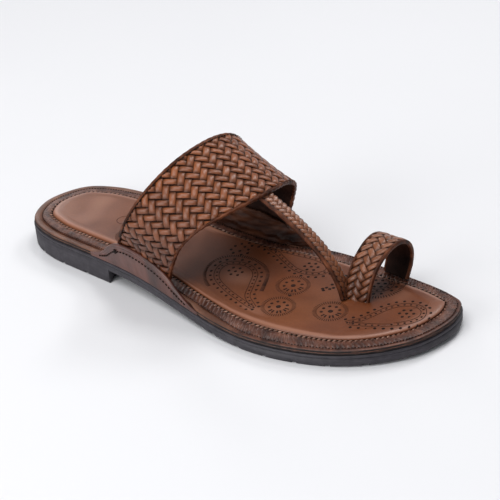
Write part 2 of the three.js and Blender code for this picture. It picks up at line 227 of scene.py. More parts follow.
@dataclass(frozen=True)
class Last:
    """Plan and heights of the sole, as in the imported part."""

    length: float = 285.0
    heel_tip: float = -0.9
    toe_tip: float = 12.5
    breast_x: float = 79.5
    breast_z: float = 8.4
    arch_start: float = 84.0
    arch_end: float = 200.0
    thin_heel: float = 6.1
    thin_ball: float = 6.9
    spring_x: float = 222.0
    spring_rise: float = 2.2
    board_heel: float = 2.0
    board_ball: float = 2.3
    sole_change: tuple[float, float] = (150, 210)
    board_change: tuple[float, float] = (100, 180)
    bed_slack: float = 0.05
    centre_heel: float = 26.0
    centre_toe: float = 30.0
    stations: tuple[Station, ...] = (
        Station(4, -16.6, 14.6), Station(12, -25.5, 25.9), Station(30, -32.4, 33.8),
        Station(50, -35.0, 36.3), Station(70, -36.8, 36.3), Station(90, -39.1, 35.0),
        Station(110, -42.0, 33.3), Station(130, -45.9, 32.8), Station(150, -50.0, 35.1),
        Station(170, -53.9, 40.0), Station(190, -55.8, 43.7), Station(210, -54.7, 43.3),
        Station(230, -50.1, 40.9), Station(245, -44.1, 39.0), Station(258, -36.0, 36.9),
        Station(270, -25.1, 33.6), Station(279.5, -11.5, 28.6),
    )

    def underside(self, x: float) -> float:
        """Height of the tread off the floor, heel block left out."""
        arch = self.breast_z * (1.0 - smooth(x, self.arch_start, self.arch_end))
        spring = max(0.0, (x - self.spring_x) / (self.length - self.spring_x))
        return arch + self.spring_rise * spring * spring

    def sole_top(self, x: float) -> float:
        """Height of the top of the rubber."""
        return self.underside(x) + mix(self.thin_heel, self.thin_ball, smooth(x, *self.sole_change))

    def board_top(self, x: float) -> float:
        """Height of the top of the leather board."""
        thick = mix(self.board_heel, self.board_ball, smooth(x, *self.board_change))
        return self.sole_top(x) + GAP + thick

    def bed_low(self, x: float) -> float:
        """Height of the underside of footbed and crimped band."""
        return self.board_top(x) + GAP + self.bed_slack


@dataclass(frozen=True)
class EdgePoint:
    """A point of the sole's edge with the direction that leads inwards."""

    place: Vector
    inward: Vector


class Outline:
    """The sole's edge seen from above."""

    def __init__(self, last: Last) -> None:
        """Rounds the stations off into one closed edge.

        Args:
            last: The last that gives the stations.
        """
        self.last = last
        lateral = [Vector((s.x, s.lateral, 0.0)) for s in last.stations]
        medial = [Vector((s.x, s.medial, 0.0)) for s in reversed(last.stations)]
        heel, toe = Vector((0.0, last.heel_tip, 0.0)), Vector((last.length, last.toe_tip, 0.0))
        corners = [heel, *lateral, toe, *medial]
        per_corner = 40
        dense = Curve.through(corners, closed=True, steps=len(corners) * per_corner).points
        turn = (len(lateral) + 1) * per_corner
        self.halves = {Side.LATERAL: Curve(dense[:turn + 1]), Side.MEDIAL: Curve(dense[:turn - 1:-1])}
        self.middle_y = (min(p.y for p in dense) + max(p.y for p in dense)) / 2.0

    def y_at(self, side: Side, x: float) -> float:
        """Y of the edge on one side at station x.

        Args:
            side: Lateral or medial.
            x: Station along the sole.

        Returns:
            The edge's Y.
        """
        points = self.halves[side].points
        k = min(max(bisect_right(points, x, key=lambda p: p.x), 1), len(points) - 1)
        low, high = points[k - 1], points[k]
        return mix(low.y, high.y, clamp((x - low.x) / max(high.x - low.x, 1e-6)))

    def centre(self, x: float) -> Vector:
        """Point of the centre line, which stops short of both tips."""
        held = clamp(x, self.last.centre_heel, self.last.length - self.last.centre_toe)
        y = (self.y_at(Side.LATERAL, held) + self.y_at(Side.MEDIAL, held)) / 2.0
        return Vector((held, y, 0.0))

    def _with_inward(self, places: list[Vector]) -> list[EdgePoint]:
        """Adds the inward directions to a closed ring of points."""
        ring = []
        for k, place in enumerate(places):
            along = (places[(k + 1) % len(places)] - places[k - 1]).normalized()
            ring.append(EdgePoint(place, Vector((-along.y, along.x, 0.0))))
        return ring

    def ring(self, half_steps: int) -> list[EdgePoint]:
        """Points at even distances round the edge, lateral side first."""
        lateral = self.halves[Side.LATERAL].spaced(half_steps)
        medial = self.halves[Side.MEDIAL].spaced(half_steps)
        return self._with_inward(lateral[:-1] + medial[:0:-1])

    def ring_at(self, stations: Sequence[float]) -> list[EdgePoint]:
        """Points round the edge at given stations, for steps that run straight across."""
        lateral = [Vector((x, self.y_at(Side.LATERAL, x), 0.0)) for x in stations]
        medial = [Vector((x, self.y_at(Side.MEDIAL, x), 0.0)) for x in stations]
        return self._with_inward(lateral[:-1] + medial[:0:-1])

    def inset(self, inset_at: Callable[[float], float], half_steps: int = 400) -> Curve:
        """Closed line inside the edge, at an inset given along the length."""
        ring = [p.place + p.inward * inset_at(p.place.x) for p in self.ring(half_steps)]
        return Curve([*ring, ring[0]])


# ------------------------------------------------------------------ mesh making
def loft(across: int, along: int, place: Place) -> bmesh.types.BMesh:
    """Bends a grid onto a surface and closes the seams where its edges meet.

    Args:
        across: Number of faces in the grid's first direction.
        along: Number of faces in the second.
        place: Gives the point for the two grid coordinates, each 0 to 1.

    Returns:
        The mesh, with the grid coordinates as its UV map.
    """
    mesh = bmesh.new()
    bend_grid(mesh, across, along, place)
    bmesh.ops.remove_doubles(mesh, verts=mesh.verts, dist=1e-4)
    bmesh.ops.dissolve_degenerate(mesh, edges=mesh.edges, dist=1e-5)
    bmesh.ops.recalc_face_normals(mesh, faces=mesh.faces)
    return mesh


def bend_grid(mesh: bmesh.types.BMesh, across: int, along: int, place: Place) -> list[bmesh.types.BMVert]:
    """Adds one grid to a mesh and bends it onto a surface, with its UV map.

    Args:
        mesh: The mesh to add to.
        across: Number of faces in the grid's first direction.
        along: Number of faces in the second.
        place: Gives the point for the two grid coordinates, each 0 to 1.

    Returns:
        The new vertices.
    """
    uv = mesh.loops.layers.uv.verify()
    made = bmesh.ops.create_grid(mesh, x_segments=across, y_segments=along, size=0.5, calc_uvs=False)
    faces = {face for vert in made["verts"] for face in vert.link_faces}
    for face in faces:
        for loop in face.loops:
            loop[uv].uv = (loop.vert.co.x + 0.5, loop.vert.co.y + 0.5)
    for vert in made["verts"]:
        vert.co = place(vert.co.x + 0.5, vert.co.y + 0.5)
    return made["verts"]


def ring_shell(ring: Sequence[EdgePoint], levels: Sequence[Callable[[EdgePoint], Vector]],
               wrapped: bool = False) -> bmesh.types.BMesh:
    """Skins levels round the sole, one over the other.

    Args:
        ring: Points round the edge.
        levels: Each gives a level's point from an edge point, from the lowest level on.
        wrapped: Whether the last level joins the first.

    Returns:
        The shell.
    """
    count = len(ring)
    rows = len(levels) if wrapped else len(levels) - 1

    def place(u: float, v: float) -> Vector:
        """Point of one level above one edge point."""
        return levels[round(v * rows) % len(levels)](ring[round(u * count) % count])

    return loft(count, rows, place)


def along_frame(place: Vector, along: Vector, normal: Vector) -> Matrix:
    """Matrix that sets a shape down at a place, its X along a line and its Z along a normal.

    Args:
        place: Where the shape goes.
        along: Direction of its X.
        normal: Direction of its Z.

    Returns:
        The matrix.
    """
    side = normal.cross(along).normalized()
    turn = Matrix((along.normalized(), side, along.cross(side).normalized())).transposed()
    return Matrix.Translation(place) @ turn.to_4x4()


def add_bead(mesh: bmesh.types.BMesh, at: Matrix, radius: float, size: Triple,
             sides: int = 8, rows: int = 4) -> None:
    """Adds a small rounded bead: a stitch, or a dark bead that stands in for the hole beside one as painted
    shade.

    Args:
        mesh: The mesh to add to.
        at: Where it lies, its X along the seam.
        radius: Its radius before scaling.
        size: Scale along the seam, across it and through it.
        sides: Faces round it.
        rows: Faces from end to end.
    """
    bmesh.ops.create_uvsphere(mesh, u_segments=sides, v_segments=rows, radius=radius,
                              matrix=at @ Matrix.Diagonal((*size, 1.0)))


class Workshop:
    """Turns finished meshes into pieces of the frame."""

    def __init__(self, outline: Outline) -> None:
        """Works out the step from the sole's millimetres to the frame's metres.

        Args:
            outline: The sole's edge.
        """
        self.to_frame = Matrix.Scale(MM, 4) @ Matrix.Translation(
            Vector((-outline.last.length / 2.0, -outline.middle_y, 0.0)))

    def piece(self, name: str, mesh: bmesh.types.BMesh, node: Node,
              material: bpy.types.Material) -> bpy.types.Object:
        """Makes one piece from its mesh and ties it to the frame.

        Args:
            name: The piece's name.
            mesh: Its mesh in the sole's millimetres; it is freed here.
            node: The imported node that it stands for.
            material: Its finish.

        Returns:
            The object.
        """
        bmesh.ops.transform(mesh, matrix=self.to_frame, verts=mesh.verts)
        for face in mesh.faces:
            face.smooth = True
        data = bpy.data.meshes.new(name)
        mesh.to_mesh(data)
        mesh.free()
        data.materials.append(material)
        made = bpy.data.objects.new(name, data)
        bpy.context.scene.collection.objects.link(made)
        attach(made, "root")
        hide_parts(node.value)
        node.slot
        log.info("%s: %d faces for %s", name, len(data.polygons), node.value)
        return made


# ------------------------------------------------------------------ finishes
class Recipe:
    """Adds the nodes of one material and joins them."""

    def __init__(self, name: str) -> None:
        """Starts a material with its shader.

        Args:
            name: The finish's name.
        """
        self.material = bpy.data.materials.new(name)
        self.material.use_nodes = True
        self.tree = self.material.node_tree
        self.shader = self.tree.nodes["Principled BSDF"]
        self.coords = self.tree.nodes.new("ShaderNodeTexCoord")

    def feed(self, target: bpy.types.NodeSocket, value: object) -> None:
        """Links a socket to an input, or sets a plain value on it."""
        if isinstance(value, bpy.types.NodeSocket):
            self.tree.links.new(value, target)
        else:
            target.default_value = value

    def node(self, kind: str, inputs: dict[str | int, object] | None = None,
             **settings: object) -> bpy.types.Node:
        """Adds a node.

        Args:
            kind: Its type, without the ShaderNode prefix.
            inputs: Values or sockets for its inputs.
            **settings: Its own properties.

        Returns:
            The node.
        """
        made = self.tree.nodes.new("ShaderNode" + kind)
        for key, value in settings.items():
            setattr(made, key, value)
        for key, value in (inputs or {}).items():
            self.feed(made.inputs[key], value)
        return made

    def speckle(self, scale: float, detail: float = 3.0, stretch: Triple = (1.0, 1.0, 1.0),
                vector: bpy.types.NodeSocket | None = None) -> bpy.types.NodeSocket:
        """Noise from 0 to 1.

        Args:
            scale: Lumps per metre, or per UV width when a vector is given.
            detail: Finer layers on top.
            stretch: Scale along each axis.
            vector: Where the noise is read; Object coordinates if left out.

        Returns:
            The noise's socket.
        """
        source = vector or self.coords.outputs["Object"]
        held = self.node("Mapping", {"Vector": source, "Scale": stretch}).outputs[0]
        return self.node("TexNoise", {"Vector": held, "Scale": scale, "Detail": detail}).outputs["Fac"]

    def ramp(self, source: bpy.types.NodeSocket,
             stops: Sequence[tuple[float, Colour]]) -> bpy.types.NodeSocket:
        """Colours at given values of a socket.

        Args:
            source: The value, 0 to 1.
            stops: Value and colour of each stop.

        Returns:
            The colour's socket.
        """
        made = self.node("ValToRGB", {"Fac": source})
        elements = made.color_ramp.elements
        while len(elements) < len(stops):
            elements.new(0.5)
        for element, (position, colour) in zip(elements, stops):
            element.position = position
            element.color = (*colour, 1.0)
        return made.outputs["Color"]

    def reckon(self, operation: str, first: object, second: object) -> bpy.types.NodeSocket:
        """Result of one operation on two values or sockets."""
        return self.node("Math", {0: first, 1: second}, operation=operation).outputs[0]

    def remap(self, value: bpy.types.NodeSocket, given: tuple[float, float] = (0.0, 1.0),
              wanted: tuple[float, float] = (0.0, 1.0)) -> bpy.types.NodeSocket:
        """A value taken from one range to another and held at both ends.

        Args:
            value: The value.
            given: Its range.
            wanted: The range that it is taken to.

        Returns:
            The new value's socket.
        """
        return self.node("MapRange", {"Value": value, "From Min": given[0], "From Max": given[1],
                                      "To Min": wanted[0], "To Max": wanted[1]}).outputs[0]

    def from_middle(self, share: bpy.types.NodeSocket) -> bpy.types.NodeSocket:
        """How far a share from 0 to 1 lies from its middle, as 0 to 1."""
        doubled = self.node("Math", {0: share, 1: 2.0, 2: -1.0}, operation="MULTIPLY_ADD").outputs[0]
        return self.reckon("ABSOLUTE", doubled, 0.0)

    def blend(self, share: object, first: object, second: object, mode: str = "MIX") -> bpy.types.NodeSocket:
        """Two colours blended.

        Args:
            share: How much of the second, as a value or a socket.
            first: The first colour, as four values or a socket.
            second: The second colour.
            mode: Way of blending.

        Returns:
            The colour's socket.
        """
        made = self.node("Mix", data_type="RGBA", blend_type=mode)
        for index, value in ((0, share), (6, first), (7, second)):
            self.feed(made.inputs[index], value)
        return made.outputs[2]

    def bump(self, height: bpy.types.NodeSocket, depth: float,
             under: bpy.types.NodeSocket | None = None) -> bpy.types.NodeSocket:
        """Small relief, depth in millimetres, over another relief if one is given.

        Args:
            height: The relief's height, 0 to 1.
            depth: Its depth in millimetres.
            under: A relief that it lies on.

        Returns:
            The normal's socket.
        """
        inputs: dict[str | int, object] = {"Height": height, "Distance": depth * MM}
        if under is not None:
            inputs["Normal"] = under
        return self.node("Bump", inputs).outputs["Normal"]

    def finish(self, colour: object, roughness: object, normal: bpy.types.NodeSocket,
               specular: float = 0.5, coat: object = 0.0,
               coat_roughness: float = 0.3) -> bpy.types.Material:
        """Joins the values and sockets to the shader.

        Args:
            colour: Base colour, as four values or a socket.
            roughness: Roughness, as a value or a socket.
            normal: Relief.
            specular: Strength of the plain gloss.
            coat: Strength of the clear coat on top, as a value or a socket.
            coat_roughness: Roughness of the clear coat.

        Returns:
            The material.
        """
        inputs = {"Base Color": colour, "Roughness": roughness, "Normal": normal,
                  "Specular IOR Level": specular, "Coat Weight": coat,
                  "Coat Roughness": coat_roughness}
        for name, value in inputs.items():
            self.feed(self.shader.inputs[name], value)
        return self.material


@dataclass(frozen=True)
class Leather:
    """Smooth hide: clouded colour, fine grain, pores, and gloss that comes and goes."""

    name: str
    dark: Colour
    base: Colour
    light: Colour
    roughness: float = 0.42
    grain: float = 0.05
    grain_scale: float = 900.0
    cloud_scale: float = 38.0
    specular: float = 0.4
    coat: float = 0.12
    streak: Triple = (1.0, 1.0, 1.0)
    creases: float = 0.0
    # Paler colour of a painted highlight, laid where a vertex attribute asks for it: the footbed's shoulder
    # and toe.
    painted_highlight_colour: Colour | None = None

    def build(self) -> bpy.types.Material:
        """Makes the material."""
        recipe = Recipe(self.name)
        cloud = recipe.speckle(self.cloud_scale, 4.0, self.streak)
        colour = recipe.ramp(cloud, ((0.32, self.dark), (0.52, self.base), (0.72, self.light)))
        fine = recipe.speckle(self.grain_scale, 2.0, self.streak)
        mottle = recipe.ramp(fine, ((0.3, grey(0.35)), (0.7, grey(0.75))))
        colour = recipe.blend(0.22, colour, mottle, "OVERLAY")
        # Painted highlight: blends towards the paler colour by the vertex attribute.
        if self.painted_highlight_colour:
            painted_highlight = recipe.node("Attribute", attribute_name="coat_and_painted_highlight").outputs["Fac"]
            share = recipe.reckon("MULTIPLY", painted_highlight, 0.6)
            colour = recipe.blend(share, colour, (*self.painted_highlight_colour, 1.0))
        pores = recipe.node("TexVoronoi", {"Vector": recipe.coords.outputs["Object"],
                                           "Scale": self.grain_scale * 1.6})
        normal = recipe.bump(pores.outputs["Distance"], self.grain * 0.6)
        normal = recipe.bump(fine, self.grain, normal)
        if self.creases:
            crease = recipe.speckle(150.0, 3.0, self.streak)
            normal = recipe.bump(crease, self.creases, normal)
        gloss = recipe.remap(cloud, wanted=(self.roughness + 0.1, self.roughness - 0.08))
        return recipe.finish(colour, gloss, normal, self.specular, self.coat)


@dataclass(frozen=True)
class WovenLeather:
    """Hide strips of a weave: paler higher up as painted light, darker towards each float's ends and sides as
    painted shade where it dips under.
    """

    name: str
    # Colour of the painted shade at the floats' ends and sides, where they dip under.
    painted_shade: Colour
    base: Colour
    light: Colour
    roughness: float = 0.34
    coat: float = 0.5
    painted_shade_ends: tuple[float, float] = (0.48, 1.06)
    painted_shade_sides: tuple[float, float] = (0.55, 0.90)

    def build(self) -> bpy.types.Material:
        """Makes the material, read from the UV map of each strip and its tone attribute."""
        recipe = Recipe(self.name)
        parts = recipe.node("SeparateXYZ", {0: recipe.coords.outputs["UV"]})
        along, across = parts.outputs["X"], parts.outputs["Y"]
        tone_and_painted_light = recipe.node("Attribute", attribute_name="tone_and_painted_light").outputs["Fac"]
        apart = recipe.reckon("MULTIPLY", tone_and_painted_light, 60.0)
        shifted = recipe.node("CombineXYZ", {0: along, 1: across, 2: apart}).outputs[0]
        fibre = recipe.speckle(3.0, 3.0, (1.2, 9.0, 1.0), shifted)
        # Tone attribute: partly random, partly painted light that makes higher floats paler; it picks between
        # base and light.
        body = recipe.ramp(tone_and_painted_light, ((0.0, self.base), (1.0, self.light)))
        strands = recipe.ramp(fibre, ((0.25, grey(0.25)), (0.75, grey(0.8))))
        body = recipe.blend(0.35, body, strands, "OVERLAY")
        ragged = recipe.reckon("MULTIPLY", fibre, 0.35)
        # Painted shade: darker towards each float's ends and sides, where it dips under its neighbours; the
        # coat fades there too.
        reach = recipe.reckon("ADD", recipe.from_middle(along), ragged)
        ends = recipe.remap(reach, self.painted_shade_ends)
        sides = recipe.remap(recipe.from_middle(across), self.painted_shade_sides)
        painted_shade_share = recipe.reckon("MAXIMUM", ends, sides)
        colour = recipe.blend(painted_shade_share, body, (*self.painted_shade, 1.0))
        gloss = recipe.remap(fibre, wanted=(self.roughness - 0.08, self.roughness + 0.16))
        coat_and_painted_highlight = recipe.remap(painted_shade_share, wanted=(self.coat, 0.0))
        normal = recipe.bump(fibre, 0.12)
        return recipe.finish(colour, gloss, normal, 0.25, coat_and_painted_highlight, 0.25)


@dataclass(frozen=True)
class Rubber:
    """Moulded rubber: near black, brushed along the edge, dusty in patches."""

    name: str
    base: Colour
    dusty: Colour
    roughness: float = 0.5

    def build(self) -> bpy.types.Material:
        """Makes the material."""
        recipe = Recipe(self.name)
        brushed = recipe.speckle(60.0, 4.0, (0.7, 0.7, 14.0))
        dust = recipe.speckle(240.0, 5.0)
        cloud = recipe.reckon("MULTIPLY", dust, brushed)
        colour = recipe.ramp(cloud, ((0.15, self.base), (0.5, self.dusty)))
        gloss = recipe.remap(brushed, wanted=(self.roughness - 0.08, self.roughness + 0.18))
        normal = recipe.bump(brushed, 0.12)
        normal = recipe.bump(recipe.speckle(1500.0, 2.0), 0.03, normal)
        return recipe.finish(colour, gloss, normal, specular=0.45)


@dataclass(frozen=True)
class Finishes:
    """All the finishes of the sandal."""

    rubber: bpy.types.Material
    rim: bpy.types.Material
    raw_edge: bpy.types.Material
    crimped: bpy.types.Material
    footbed: bpy.types.Material
    pressed: bpy.types.Material
    panel: bpy.types.Material
    thread: bpy.types.Material
    dark_thread: bpy.types.Material
    woven: bpy.types.Material
    woven_fine: bpy.types.Material
    binding: bpy.types.Material
    facing: bpy.types.Material
    lining: bpy.types.Material

    @classmethod
    def mixed(cls) -> "Finishes":
        """Makes every finish."""
        return cls(
            rubber=Rubber("moulded rubber",
                          (0.018, 0.015, 0.020), (0.048, 0.042, 0.051)).build(),
            rim=Leather("rim leather",
                        (0.050, 0.018, 0.010), (0.115, 0.044, 0.023), (0.200, 0.085, 0.048),
                        roughness=0.42, cloud_scale=60.0, coat=0.1).build(),
            raw_edge=Leather("raw board edge",
                             (0.006, 0.004, 0.003), (0.014, 0.009, 0.008), (0.060, 0.028, 0.017),
                             roughness=0.65, grain=0.25, grain_scale=420.0, cloud_scale=170.0,
                             specular=0.3, coat=0.0).build(),
            crimped=Leather("crimped leather",
                            (0.032, 0.010, 0.006), (0.090, 0.031, 0.018), (0.165, 0.066, 0.040),
                            roughness=0.40, grain=0.16, grain_scale=700.0, cloud_scale=160.0,
                            specular=0.32, coat=0.10).build(),
            # The footbed's pale colour is a painted highlight on its rolled shoulder and toe end.
            footbed=Leather("footbed leather",
                            (0.090, 0.024, 0.008), (0.138, 0.038, 0.012), (0.180, 0.056, 0.020),
                            roughness=0.38, grain=0.035, cloud_scale=22.0, coat=0.12,
                            painted_highlight_colour=(0.36, 0.17, 0.11)).build(),
            pressed=Leather("pressed mark",
                            (0.008, 0.003, 0.002), (0.015, 0.006, 0.004), (0.025, 0.010, 0.007),
                            roughness=0.7, specular=0.15, coat=0.0).build(),
            panel=Leather("panel leather",
                          (0.033, 0.010, 0.007), (0.077, 0.022, 0.014), (0.116, 0.037, 0.024),
                          roughness=0.38, cloud_scale=130.0, streak=(1.0, 0.3, 0.22),
                          creases=0.15, specular=0.5, coat=0.15).build(),
            thread=Leather("waxed thread",
                           (0.080, 0.034, 0.020), (0.190, 0.090, 0.058), (0.36, 0.20, 0.14),
                           roughness=0.40, grain=0.08, grain_scale=1500.0, cloud_scale=300.0).build(),
            # Dark thread, also used for the dark beads that stand in for stitch holes as painted shade.
            dark_thread=Leather("dark thread and painted hole shade",
                                (0.004, 0.002, 0.002), (0.010, 0.005, 0.003), (0.022, 0.010, 0.007),
                                roughness=0.7, cloud_scale=300.0, specular=0.15, coat=0.0).build(),
            woven=WovenLeather("woven hide",
                               (0.007, 0.002, 0.001), (0.066, 0.015, 0.003),
                               (0.250, 0.072, 0.020)).build(),
            woven_fine=WovenLeather("fine woven hide",
                                    (0.008, 0.002, 0.001), (0.075, 0.020, 0.006),
                                    (0.240, 0.085, 0.036)).build(),
            binding=Leather("binding leather",
                            (0.016, 0.005, 0.002), (0.085, 0.024, 0.009), (0.180, 0.060, 0.026),
                            roughness=0.5, cloud_scale=120.0, grain=0.07, specular=0.15,
                            coat=0.03).build(),
            facing=Leather("facing leather",
                           (0.008, 0.002, 0.001), (0.036, 0.010, 0.004), (0.105, 0.036, 0.016),
                           roughness=0.45, cloud_scale=90.0, streak=(0.5, 0.5, 2.0), creases=0.4,
                           specular=0.16, coat=0.0).build(),
            lining=Leather("lining leather",
                           (0.008, 0.003, 0.002), (0.022, 0.008, 0.005), (0.050, 0.020, 0.012),
                           roughness=0.7, cloud_scale=60.0, grain=0.08, creases=0.25,
                           specular=0.12, coat=0.0).build(),
        )


# ------------------------------------------------------------------ sole
@dataclass(frozen=True)
class Fold:
    """One level of an edge: how far in, how high or how far down, and how rough."""

    inset: float
    height: float
    rough: float = 0.0


@dataclass
class Sole:
    """Outsole, leather board with its rim, crimped band and footbed, one inside the other."""

    outline: Outline
    shop: Workshop
    finishes: Finishes
    edge_round: float = 1.0
    cut_width: float = 2.6
    cut_depth: float = 1.5
    heel_cuts: tuple[float, ...] = (20, 40, 60)
    ball_cuts: tuple[float, ...] = (168, 186, 204, 222, 240, 258)
    board_inset: float = 0.45
    panel_inset: float = 2.65
    panel_reach: dict[Side, tuple[float, float]] = field(
        default_factory=lambda: {Side.LATERAL: (66, 156), Side.MEDIAL: (70, 180)})
    board_side: tuple[Fold, ...] = (
        Fold(0.2, 0.0, 0.1), Fold(0.0, 0.2, 0.14), Fold(0.15, 0.36, 0.16), Fold(0.5, 0.46, 0.1),
        Fold(0.12, 0.56, 0.05), Fold(0.08, 0.72, 0.04), Fold(0.3, 0.9, 0.03), Fold(0.8, 1.0, 0.02),
        Fold(1.9, 1.0, 0.06), Fold(3.2, 1.0, 0.04), Fold(4.3, 0.94), Fold(4.9, 0.8),
    )
    lip_drops: tuple[Fold, ...] = (
        Fold(0.0, 2.2), Fold(0.4, 2.0), Fold(0.45, 1.7), Fold(0.02, 1.5), Fold(-0.1, 1.1),
        Fold(-0.05, 0.5), Fold(0.2, 0.12), Fold(0.6, 0.0),
    )
    raw_below: float = 0.6
    dark_front: float = 0.04
    rim_heel: float = 5.2
    rim_ball: float = 2.4
    rim_swell: float = 0.45
    bed_edge: float = 11.7
    crimp_proud: float = 1.2
    crimp_section: tuple[Fold, ...] = (
        Fold(0.0, 0.0), Fold(0.04, 0.42), Fold(0.12, 0.62), Fold(0.26, 0.8), Fold(0.42, 0.92),
        Fold(0.58, 1.0), Fold(0.74, 1.0), Fold(0.88, 0.95), Fold(0.96, 0.6), Fold(1.0, 0.0),
    )
    rib_heel: float = 0.12
    rib_ball: float = 0.95
    stitch_pitch: float = 2.9
    fine_pitch: float = 1.75
    bed_thickness: float = 2.6
    bed_roll: tuple[Fold, ...] = (
        Fold(0.1, 0.0), Fold(0.0, 0.3), Fold(0.06, 0.5), Fold(0.35, 0.68), Fold(0.85, 0.80),
        Fold(1.5, 0.885), Fold(2.3, 0.945), Fold(3.3, 0.98), Fold(4.3, 0.997), Fold(5.2, 1.0),
    )
    toe_roll: float = 1.5
    toe_narrowing: float = 0.78
    skive: float = 10.0

    @property
    def last(self) -> Last:
        """The last under the outline."""
        return self.outline.last

    def rim_at(self, x: float) -> float:
        """Width of the bare rim: wide behind legs and panels, narrow round the forefoot."""
        return mix(self.rim_heel, self.rim_ball, smooth(x, 160, 192))

    def bed_edge_at(self, x: float) -> float:
        """Inset of the line where crimped band and footbed meet; it moves out towards the toe."""
        return self.bed_edge * mix(1.0, self.toe_narrowing, smooth(x, 205, 262))

    def centre_fill(self, steps: int, inset_at: Callable[[float], float],
                    height_at: Callable[[Vector], float]) -> list[Callable[[EdgePoint], Vector]]:
        """Levels that lead from a ring to the centre line and close the face.

        Args:
            steps: Number of levels.
            inset_at: The ring's inset along the length.
            height_at: Height of the face at a point.

        Returns:
            The levels, from the ring inwards.
        """
        def level(share: float) -> Callable[[EdgePoint], Vector]:
            """The level at a share of the way to the centre line."""
            def place(edge: EdgePoint) -> Vector:
                """Point of the level inside one edge point."""
                start = edge.place + edge.inward * inset_at(edge.place.x)
                point = start.lerp(self.outline.centre(start.x), share)
                point.z = height_at(point)
                return point
            return place
        return [level((k + 1) / steps) for k in range(steps)]

    def at(self, inset_at: Callable[[float], float] | float,
           height_at: Callable[[float], float]) -> Callable[[EdgePoint], Vector]:
        """One level at an inset and a height along the length.

        Args:
            inset_at: Inset, plain or along the length.
            height_at: Height along the length.

        Returns:
            The level.
        """
        def place(edge: EdgePoint) -> Vector:
            """Point of the level inside one edge point."""
            inset = inset_at(edge.place.x) if callable(inset_at) else inset_at
            point = edge.place + edge.inward * inset
            point.z = height_at(edge.place.x)
            return point
        return place

    def tread_height(self, x: float, depth: float) -> float:
        """Height of the tread with heel block and cuts of a given depth.

        Args:
            x: Station along the sole.
            depth: Depth of the cuts.

        Returns:
            The height.
        """
        base = 0.0 if x <= self.last.breast_x else self.last.underside(x)
        for middle in (*self.heel_cuts, *self.ball_cuts):
            if abs(x - middle) < self.cut_width / 2.0:
                return base + depth
        return base

    def tread_stations(self) -> list[float]:
        """Stations along the sole, doubled at the heel breast and at each cut."""
        count, clear, crack = 150, 0.5, 0.05
        length = self.last.length
        plain = [length * (1.0 - math.cos(math.pi * k / count)) / 2.0 for k in range(count + 1)]
        half = self.cut_width / 2.0
        walls = [self.last.breast_x]
        for middle in (*self.heel_cuts, *self.ball_cuts):
            walls += [middle - half, middle + half]
        kept = [x for x in plain if all(abs(x - wall) > clear for wall in walls)]
        return sorted([*kept, *(w - crack for w in walls), *(w + crack for w in walls)])

    def outsole(self) -> bpy.types.Object:
        """Moulded rubber unit with its lip, heel block and cut tread."""
        last, edge = self.last, self.edge_round
        top = last.sole_top

        def low(x: float) -> float:
            """Height of the tread at the edge, where its cuts run out."""
            return self.tread_height(x, self.cut_depth * 0.4)

        side = [self.at(edge, low), self.at(0.35, lambda x: low(x) + 0.3),
                self.at(0.1, lambda x: low(x) + edge), self.at(0.0, lambda x: low(x) + edge + 0.8)]
        side += [self.at(fold.inset, lambda x, drop=fold.height: top(x) - drop) for fold in self.lip_drops]
        under = self.centre_fill(6, lambda x: edge, lambda p: self.tread_height(p.x, self.cut_depth))
        above = self.centre_fill(4, lambda x: self.lip_drops[-1].inset, lambda p: top(p.x))
        ring = self.outline.ring_at(self.tread_stations())
        mesh = ring_shell(ring, [*reversed(under), *side, *above])
        return self.shop.piece("outsole_rubber", mesh, Node.OUTSOLE, self.finishes.rubber)

    def inset_of_board(self, edge: EdgePoint) -> float:
        """Inset of the board, which stands further in where a side panel wraps up past it.

        Args:
            edge: Point of the sole's edge.

        Returns:
            The inset.
        """
        start, end = self.panel_reach[Side.MEDIAL if edge.place.y > 0 else Side.LATERAL]
        x = edge.place.x
        inside = smooth(x, start, start + self.skive) * (1.0 - smooth(x, end - self.skive, end))
        return mix(self.board_inset, self.panel_inset, inside)

    def board(self) -> bpy.types.Object:
        """Leather board: rough glued side, rounded edge and smooth rim."""
        last = self.last

        def level(fold: Fold) -> Callable[[EdgePoint], Vector]:
            """Level of the board's side or rim, its height a share of the board's thickness."""
            def place(edge: EdgePoint) -> Vector:
                """Point of the level inside one edge point."""
                x, y = edge.place.x, edge.place.y
                ragged = fold.rough * uneven(x, y, fold.inset * 9, 2.2)
                point = edge.place + edge.inward * (self.inset_of_board(edge) + fold.inset + ragged)
                low, high = last.sole_top(x) + GAP, last.board_top(x) + self.rim_swell
                point.z = mix(low, high, fold.height) + 0.5 * ragged
                return point
            return place

        levels = [level(fold) for fold in self.board_side]
        fill = self.centre_fill(3, lambda x: 7.0, lambda p: last.board_top(p.x))
        under = self.centre_fill(3, lambda x: 3.0, lambda p: last.sole_top(p.x) + GAP)
        mesh = ring_shell(self.outline.ring(420), [*reversed(under), *levels, *fill])
        rim = self.shop.piece("board_rim", mesh, Node.MIDSOLE, self.finishes.rim)
        rim.data.materials.append(self.finishes.raw_edge)
        rim.data.materials.append(self.finishes.crimped)
        for face in rim.data.polygons:
            face.material_index = self.rim_finish(face.center, face.normal.z)
        return rim

    def rim_finish(self, centre: Vector, upward: float) -> int:
        """Which finish a face of the board takes.

        Args:
            centre: Its middle in the frame, in metres.
            upward: How far it faces up, -1 to 1.

        Returns:
            0 for the smooth rim, 1 for the raw side, 2 for the darker rim of the forefoot.
        """
        if upward < self.raw_below:
            return 1
        ragged = 0.003 * uneven(1e3 * centre.x, 1e3 * centre.y, 0.0, 3.0)
        return 2 if centre.x + ragged > self.dark_front else 0

